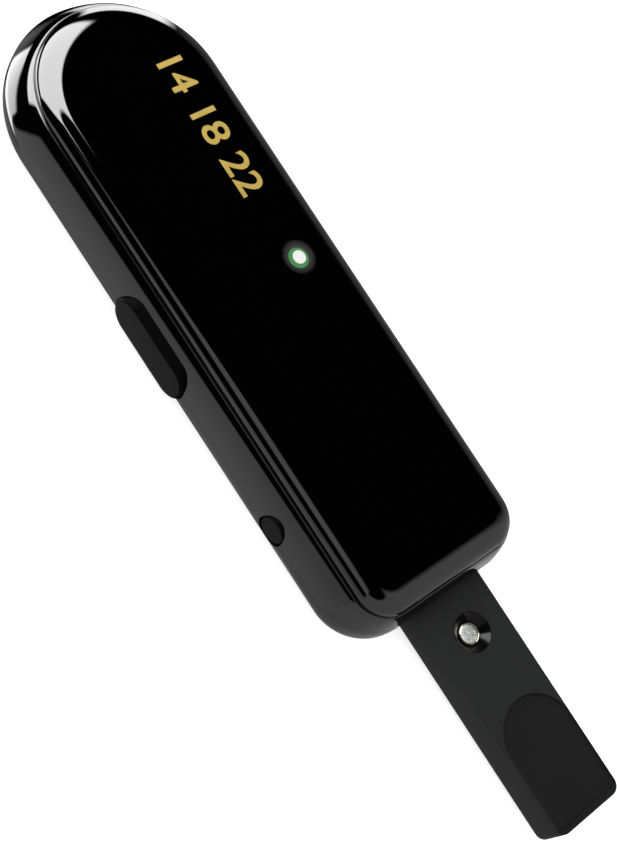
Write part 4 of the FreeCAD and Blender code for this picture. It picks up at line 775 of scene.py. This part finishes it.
# ---------------------------------------------------------------- slide parts and contacts
# Two acetal rails guide the arm, a steel pin ends its travel and a felt pad holds it where it is put. Brass
# strips carry the test signal along the arm and the cell's current to the board.
strip_brass, tree, shader = material("strip_brass", (0.6, 0.42, 0.17), roughness=0.3, metallic=1.0)
place = add(tree, "ShaderNodeTexCoord")
tarnish = add(tree, "ShaderNodeTexNoise", Scale=300.0, Detail=5.0)
tint = two_tones(tree, (0.35, (0.33, 0.2, 0.07)), (0.65, (0.66, 0.47, 0.2)))
wire(tree,
     (place.outputs["Object"], tarnish.inputs["Vector"]),
     (tarnish.outputs["Fac"], tint.inputs["Fac"]),
     (tint.outputs["Color"], shader.inputs["Base Color"]))
cell_steel, tree, shader = material("cell_steel", (0.55, 0.55, 0.56), roughness=0.25, metallic=1.0)
cell_low, cell_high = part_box("coin_cell")
place = add(tree, "ShaderNodeTexCoord")
centred = add(tree, "ShaderNodeMapping", Location=-(cell_low + cell_high) / 2)
rings = add(tree, "ShaderNodeTexWave", wave_type="RINGS", rings_direction="Z", Scale=1500.0, Distortion=3.0)
brushed = add(tree, "ShaderNodeMapRange", **{"To Min": 0.2, "To Max": 0.34})
wire(tree,
     (place.outputs["Object"], centred.inputs["Vector"]),
     (centred.outputs["Vector"], rings.inputs["Vector"]),
     (rings.outputs["Fac"], brushed.inputs["Value"]),
     (brushed.outputs["Result"], shader.inputs["Roughness"]))
pad_felt, tree, shader = material("pad_felt", (0.05, 0.045, 0.04), roughness=0.95, level=0.2)
place = add(tree, "ShaderNodeTexCoord")
fibres = add(tree, "ShaderNodeTexNoise", Scale=4000.0, Detail=6.0, Distortion=1.5)
nap = add(tree, "ShaderNodeBump", Strength=0.8, Distance=0.0001)
wire(tree,
     (place.outputs["Object"], fibres.inputs["Vector"]),
     (fibres.outputs["Fac"], nap.inputs["Height"]),
     (nap.outputs["Normal"], shader.inputs["Normal"]))
dress(guide_plastic, "left_rail", "right_rail", "cell_holder")
dress(screw_steel, "stop_pin")
dress(pad_felt, "drag_pad")
dress(strip_brass, "contact_lead", "contact_track", "contact_wiper", "plus_contact", "minus_contact")
dress(cell_steel, "coin_cell")

# ---------------------------------------------------------------- floor
# A white table, lit from all sides, so that only a faint shadow stays under the object. It is one-sided, so
# that the back of the case can be seen from below.
FLOOR_REACH = 1.5
FLOOR_BELOW = 0.02 * MM
floor_mesh = bmesh.new()
bmesh.ops.create_grid(floor_mesh, x_segments=1, y_segments=1, size=FLOOR_REACH)
bmesh.ops.translate(floor_mesh, verts=floor_mesh.verts, vec=(0, 0, -FLOOR_BELOW))
floor = finished("floor", floor_mesh)
table_white, tree, shader = material("table_white", (0.95, 0.95, 0.95), roughness=0.9, level=0.0)
shader.inputs["Emission Color"].default_value = (1, 1, 1, 1)
shader.inputs["Emission Strength"].default_value = 0.62
side = tree.nodes.new("ShaderNodeNewGeometry")
seen_through = tree.nodes.new("ShaderNodeBsdfTransparent")
one_sided = tree.nodes.new("ShaderNodeMixShader")
wire(tree,
     (side.outputs["Backfacing"], one_sided.inputs["Fac"]),
     (shader.outputs["BSDF"], one_sided.inputs[1]),
     (seen_through.outputs["BSDF"], one_sided.inputs[2]),
     (one_sided.outputs["Shader"], tree.nodes["Material Output"].inputs["Surface"]))
floor.data.materials.append(table_white)
floor.visible_glossy = False

# ---------------------------------------------------------------- studio
# White all round for the camera and for soft light. What the polished plastic mirrors is painted by
# direction: a pale table on the near side and below, two strips on the left, weaker ones on the far side and
# the right, a small window, a big softbox behind the round end with its image in the table, and black above.
WINDOW_SIDE = math.radians(75)
world = bpy.data.worlds.new("studio")
world.use_nodes = True
bpy.context.scene.world = world
world.cycles.sampling_method = "NONE"
tree = world.node_tree
around = add(tree, "ShaderNodeTexCoord")
turned_round = add(tree, "ShaderNodeMapping", Rotation=(0, 0, -WINDOW_SIDE))
parts = add(tree, "ShaderNodeSeparateXYZ")
height = add(tree, "ShaderNodeMath", operation="ARCSINE")
bearing = add(tree, "ShaderNodeMath", operation="ARCTAN2")
wire(tree,
     (around.outputs["Generated"], turned_round.inputs["Vector"]),
     (turned_round.outputs["Vector"], parts.inputs["Vector"]),
     (parts.outputs["Z"], height.inputs[0]),
     (parts.outputs["Y"], bearing.inputs[0]),
     (parts.outputs["X"], bearing.inputs[1]))


def levels(angle, full_turn, marks):
    """A brightness that runs through the given (degrees, share) marks as the angle goes round."""
    share = add(tree, "ShaderNodeMapRange", **{"From Min": -full_turn / 2, "From Max": full_turn / 2})
    ramp = add(tree, "ShaderNodeValToRGB")
    stops = ramp.color_ramp.elements
    for number, (degrees, value) in enumerate(marks):
        where = math.radians(degrees) / full_turn + 0.5
        stop = stops[number] if number < 2 else stops.new(where)
        stop.position = where
        stop.color = (value, value, value, 1)
    wire(tree,
         (angle.outputs[0], share.inputs["Value"]),
         (share.outputs["Result"], ramp.inputs["Fac"]))
    return ramp.outputs["Color"]


def painted(strength, round_marks, height_marks, behind, lean=0.0, lean_marks=None):
    """A patch of light that is as bright as its strength, added to what lies behind it. The marks are
    (degrees, share) pairs, round from the window side and up from the horizon; those on the lean count the
    height plus 'lean' times the bearing."""
    patch = add(tree, "ShaderNodeMath", operation="MULTIPLY")
    wire(tree,
         (levels(bearing, 2 * math.pi, round_marks), patch.inputs[0]),
         (levels(height, math.pi, height_marks), patch.inputs[1]))
    if lean_marks:
        leaning = add(tree, "ShaderNodeMath", operation="MULTIPLY_ADD")
        leaning.inputs[1].default_value = lean
        trimmed = add(tree, "ShaderNodeMath", operation="MULTIPLY")
        wire(tree,
             (bearing.outputs[0], leaning.inputs[0]),
             (height.outputs[0], leaning.inputs[2]),
             (patch.outputs[0], trimmed.inputs[0]),
             (levels(leaning, 2 * math.pi, lean_marks), trimmed.inputs[1]))
        patch = trimmed
    brought_up = add(tree, "ShaderNodeMath", operation="MULTIPLY_ADD")
    brought_up.inputs[1].default_value = strength
    tree.links.new(patch.outputs[0], brought_up.inputs[0])
    if behind:
        tree.links.new(behind, brought_up.inputs[2])
    else:
        brought_up.inputs[2].default_value = 0
    return brought_up.outputs[0]


TABLE_FALL = ((-90, 0.3), (-60, 0.45), (-40, 0.65), (-20, 0.85))
near_side = painted(1.1, ((-180, 1), (-100, 1), (-84, 0), (112, 0), (122, 1), (180, 1)),
                    (*TABLE_FALL, (-5, 0.95), (67, 1), (71, 0)), None)
left_side = painted(1.38, ((60, 0), (66, 1), (100, 1), (109, 0.78), (112, 0.78), (122, 0)),
                    ((-90, 0.3), (-60, 0.45), (-40, 0.75), (-20, 1), (-6, 0.95), (5, 0.8), (40, 0.8),
                     (44, 0)),
                    near_side, lean=-1.25, lean_marks=((-105.7, 1), (-101.7, 0)))
left_strip = painted(1.35, ((68, 0), (74, 1), (112, 1), (122, 0)), ((58, 0), (62, 1), (78, 1), (83, 0)),
                     left_side)
far_side = painted(0.5, ((-100, 0), (-84, 1), (-50, 0.8), (-40, 0), (-14, 0), (0, 1), (60, 1), (66, 0)),
                   ((-90, 0.5), (-60, 0.8), (-30, 1), (-14, 0)), left_strip)
right_side = painted(0.4, ((-100, 0), (-84, 1), (-50, 0.8), (-44, 0)), ((-30, 1), (20, 1), (32, 0)),
                     far_side)
small_window = painted(11.5, ((-46, 0), (-42, 1), (-18, 1), (-14, 0)),
                       ((-32, 0), (-24, 0.2), (-8, 0.5), (5, 0.8), (15, 1), (20, 1), (23, 0)), right_side)
table_image = painted(8.2, ((12, 0), (15, 1), (58, 1), (60.5, 0)), ((-55, 0), (-48, 1), (-14, 1), (-11, 0)),
                      small_window)
softbox = painted(16.2, ((-29, 0), (-26, 1), (57, 1), (60, 0)), ((11, 0), (14, 1), (67, 1), (69, 0)),
                  table_image, lean=0.68, lean_marks=((20.5, 0), (23, 1)))
path = add(tree, "ShaderNodeLightPath")
chosen = add(tree, "ShaderNodeMix", data_type="FLOAT")
chosen.inputs[2].default_value = 1
wire(tree,
     (path.outputs["Is Glossy Ray"], chosen.inputs[0]),
     (softbox, chosen.inputs[3]),
     (chosen.outputs[0], tree.nodes["Background"].inputs["Strength"]))
tree.nodes["Background"].inputs["Color"].default_value = (1, 1, 1, 1)

# ---------------------------------------------------------------- camera
camera_data = bpy.data.cameras.new("camera")
camera_data.lens = 72.71
camera_data.sensor_width = 36
camera_data.clip_start = 0.01
camera = bpy.data.objects.new("camera", camera_data)
bpy.context.scene.collection.objects.link(camera)
camera.location = (-0.123845, -0.034166, 0.200517)
camera.rotation_euler = [math.radians(angle) for angle in (21.6782, -24.1985, -36.8183)]
bpy.context.scene.camera = camera
bpy.context.scene.view_settings.view_transform = "Standard"
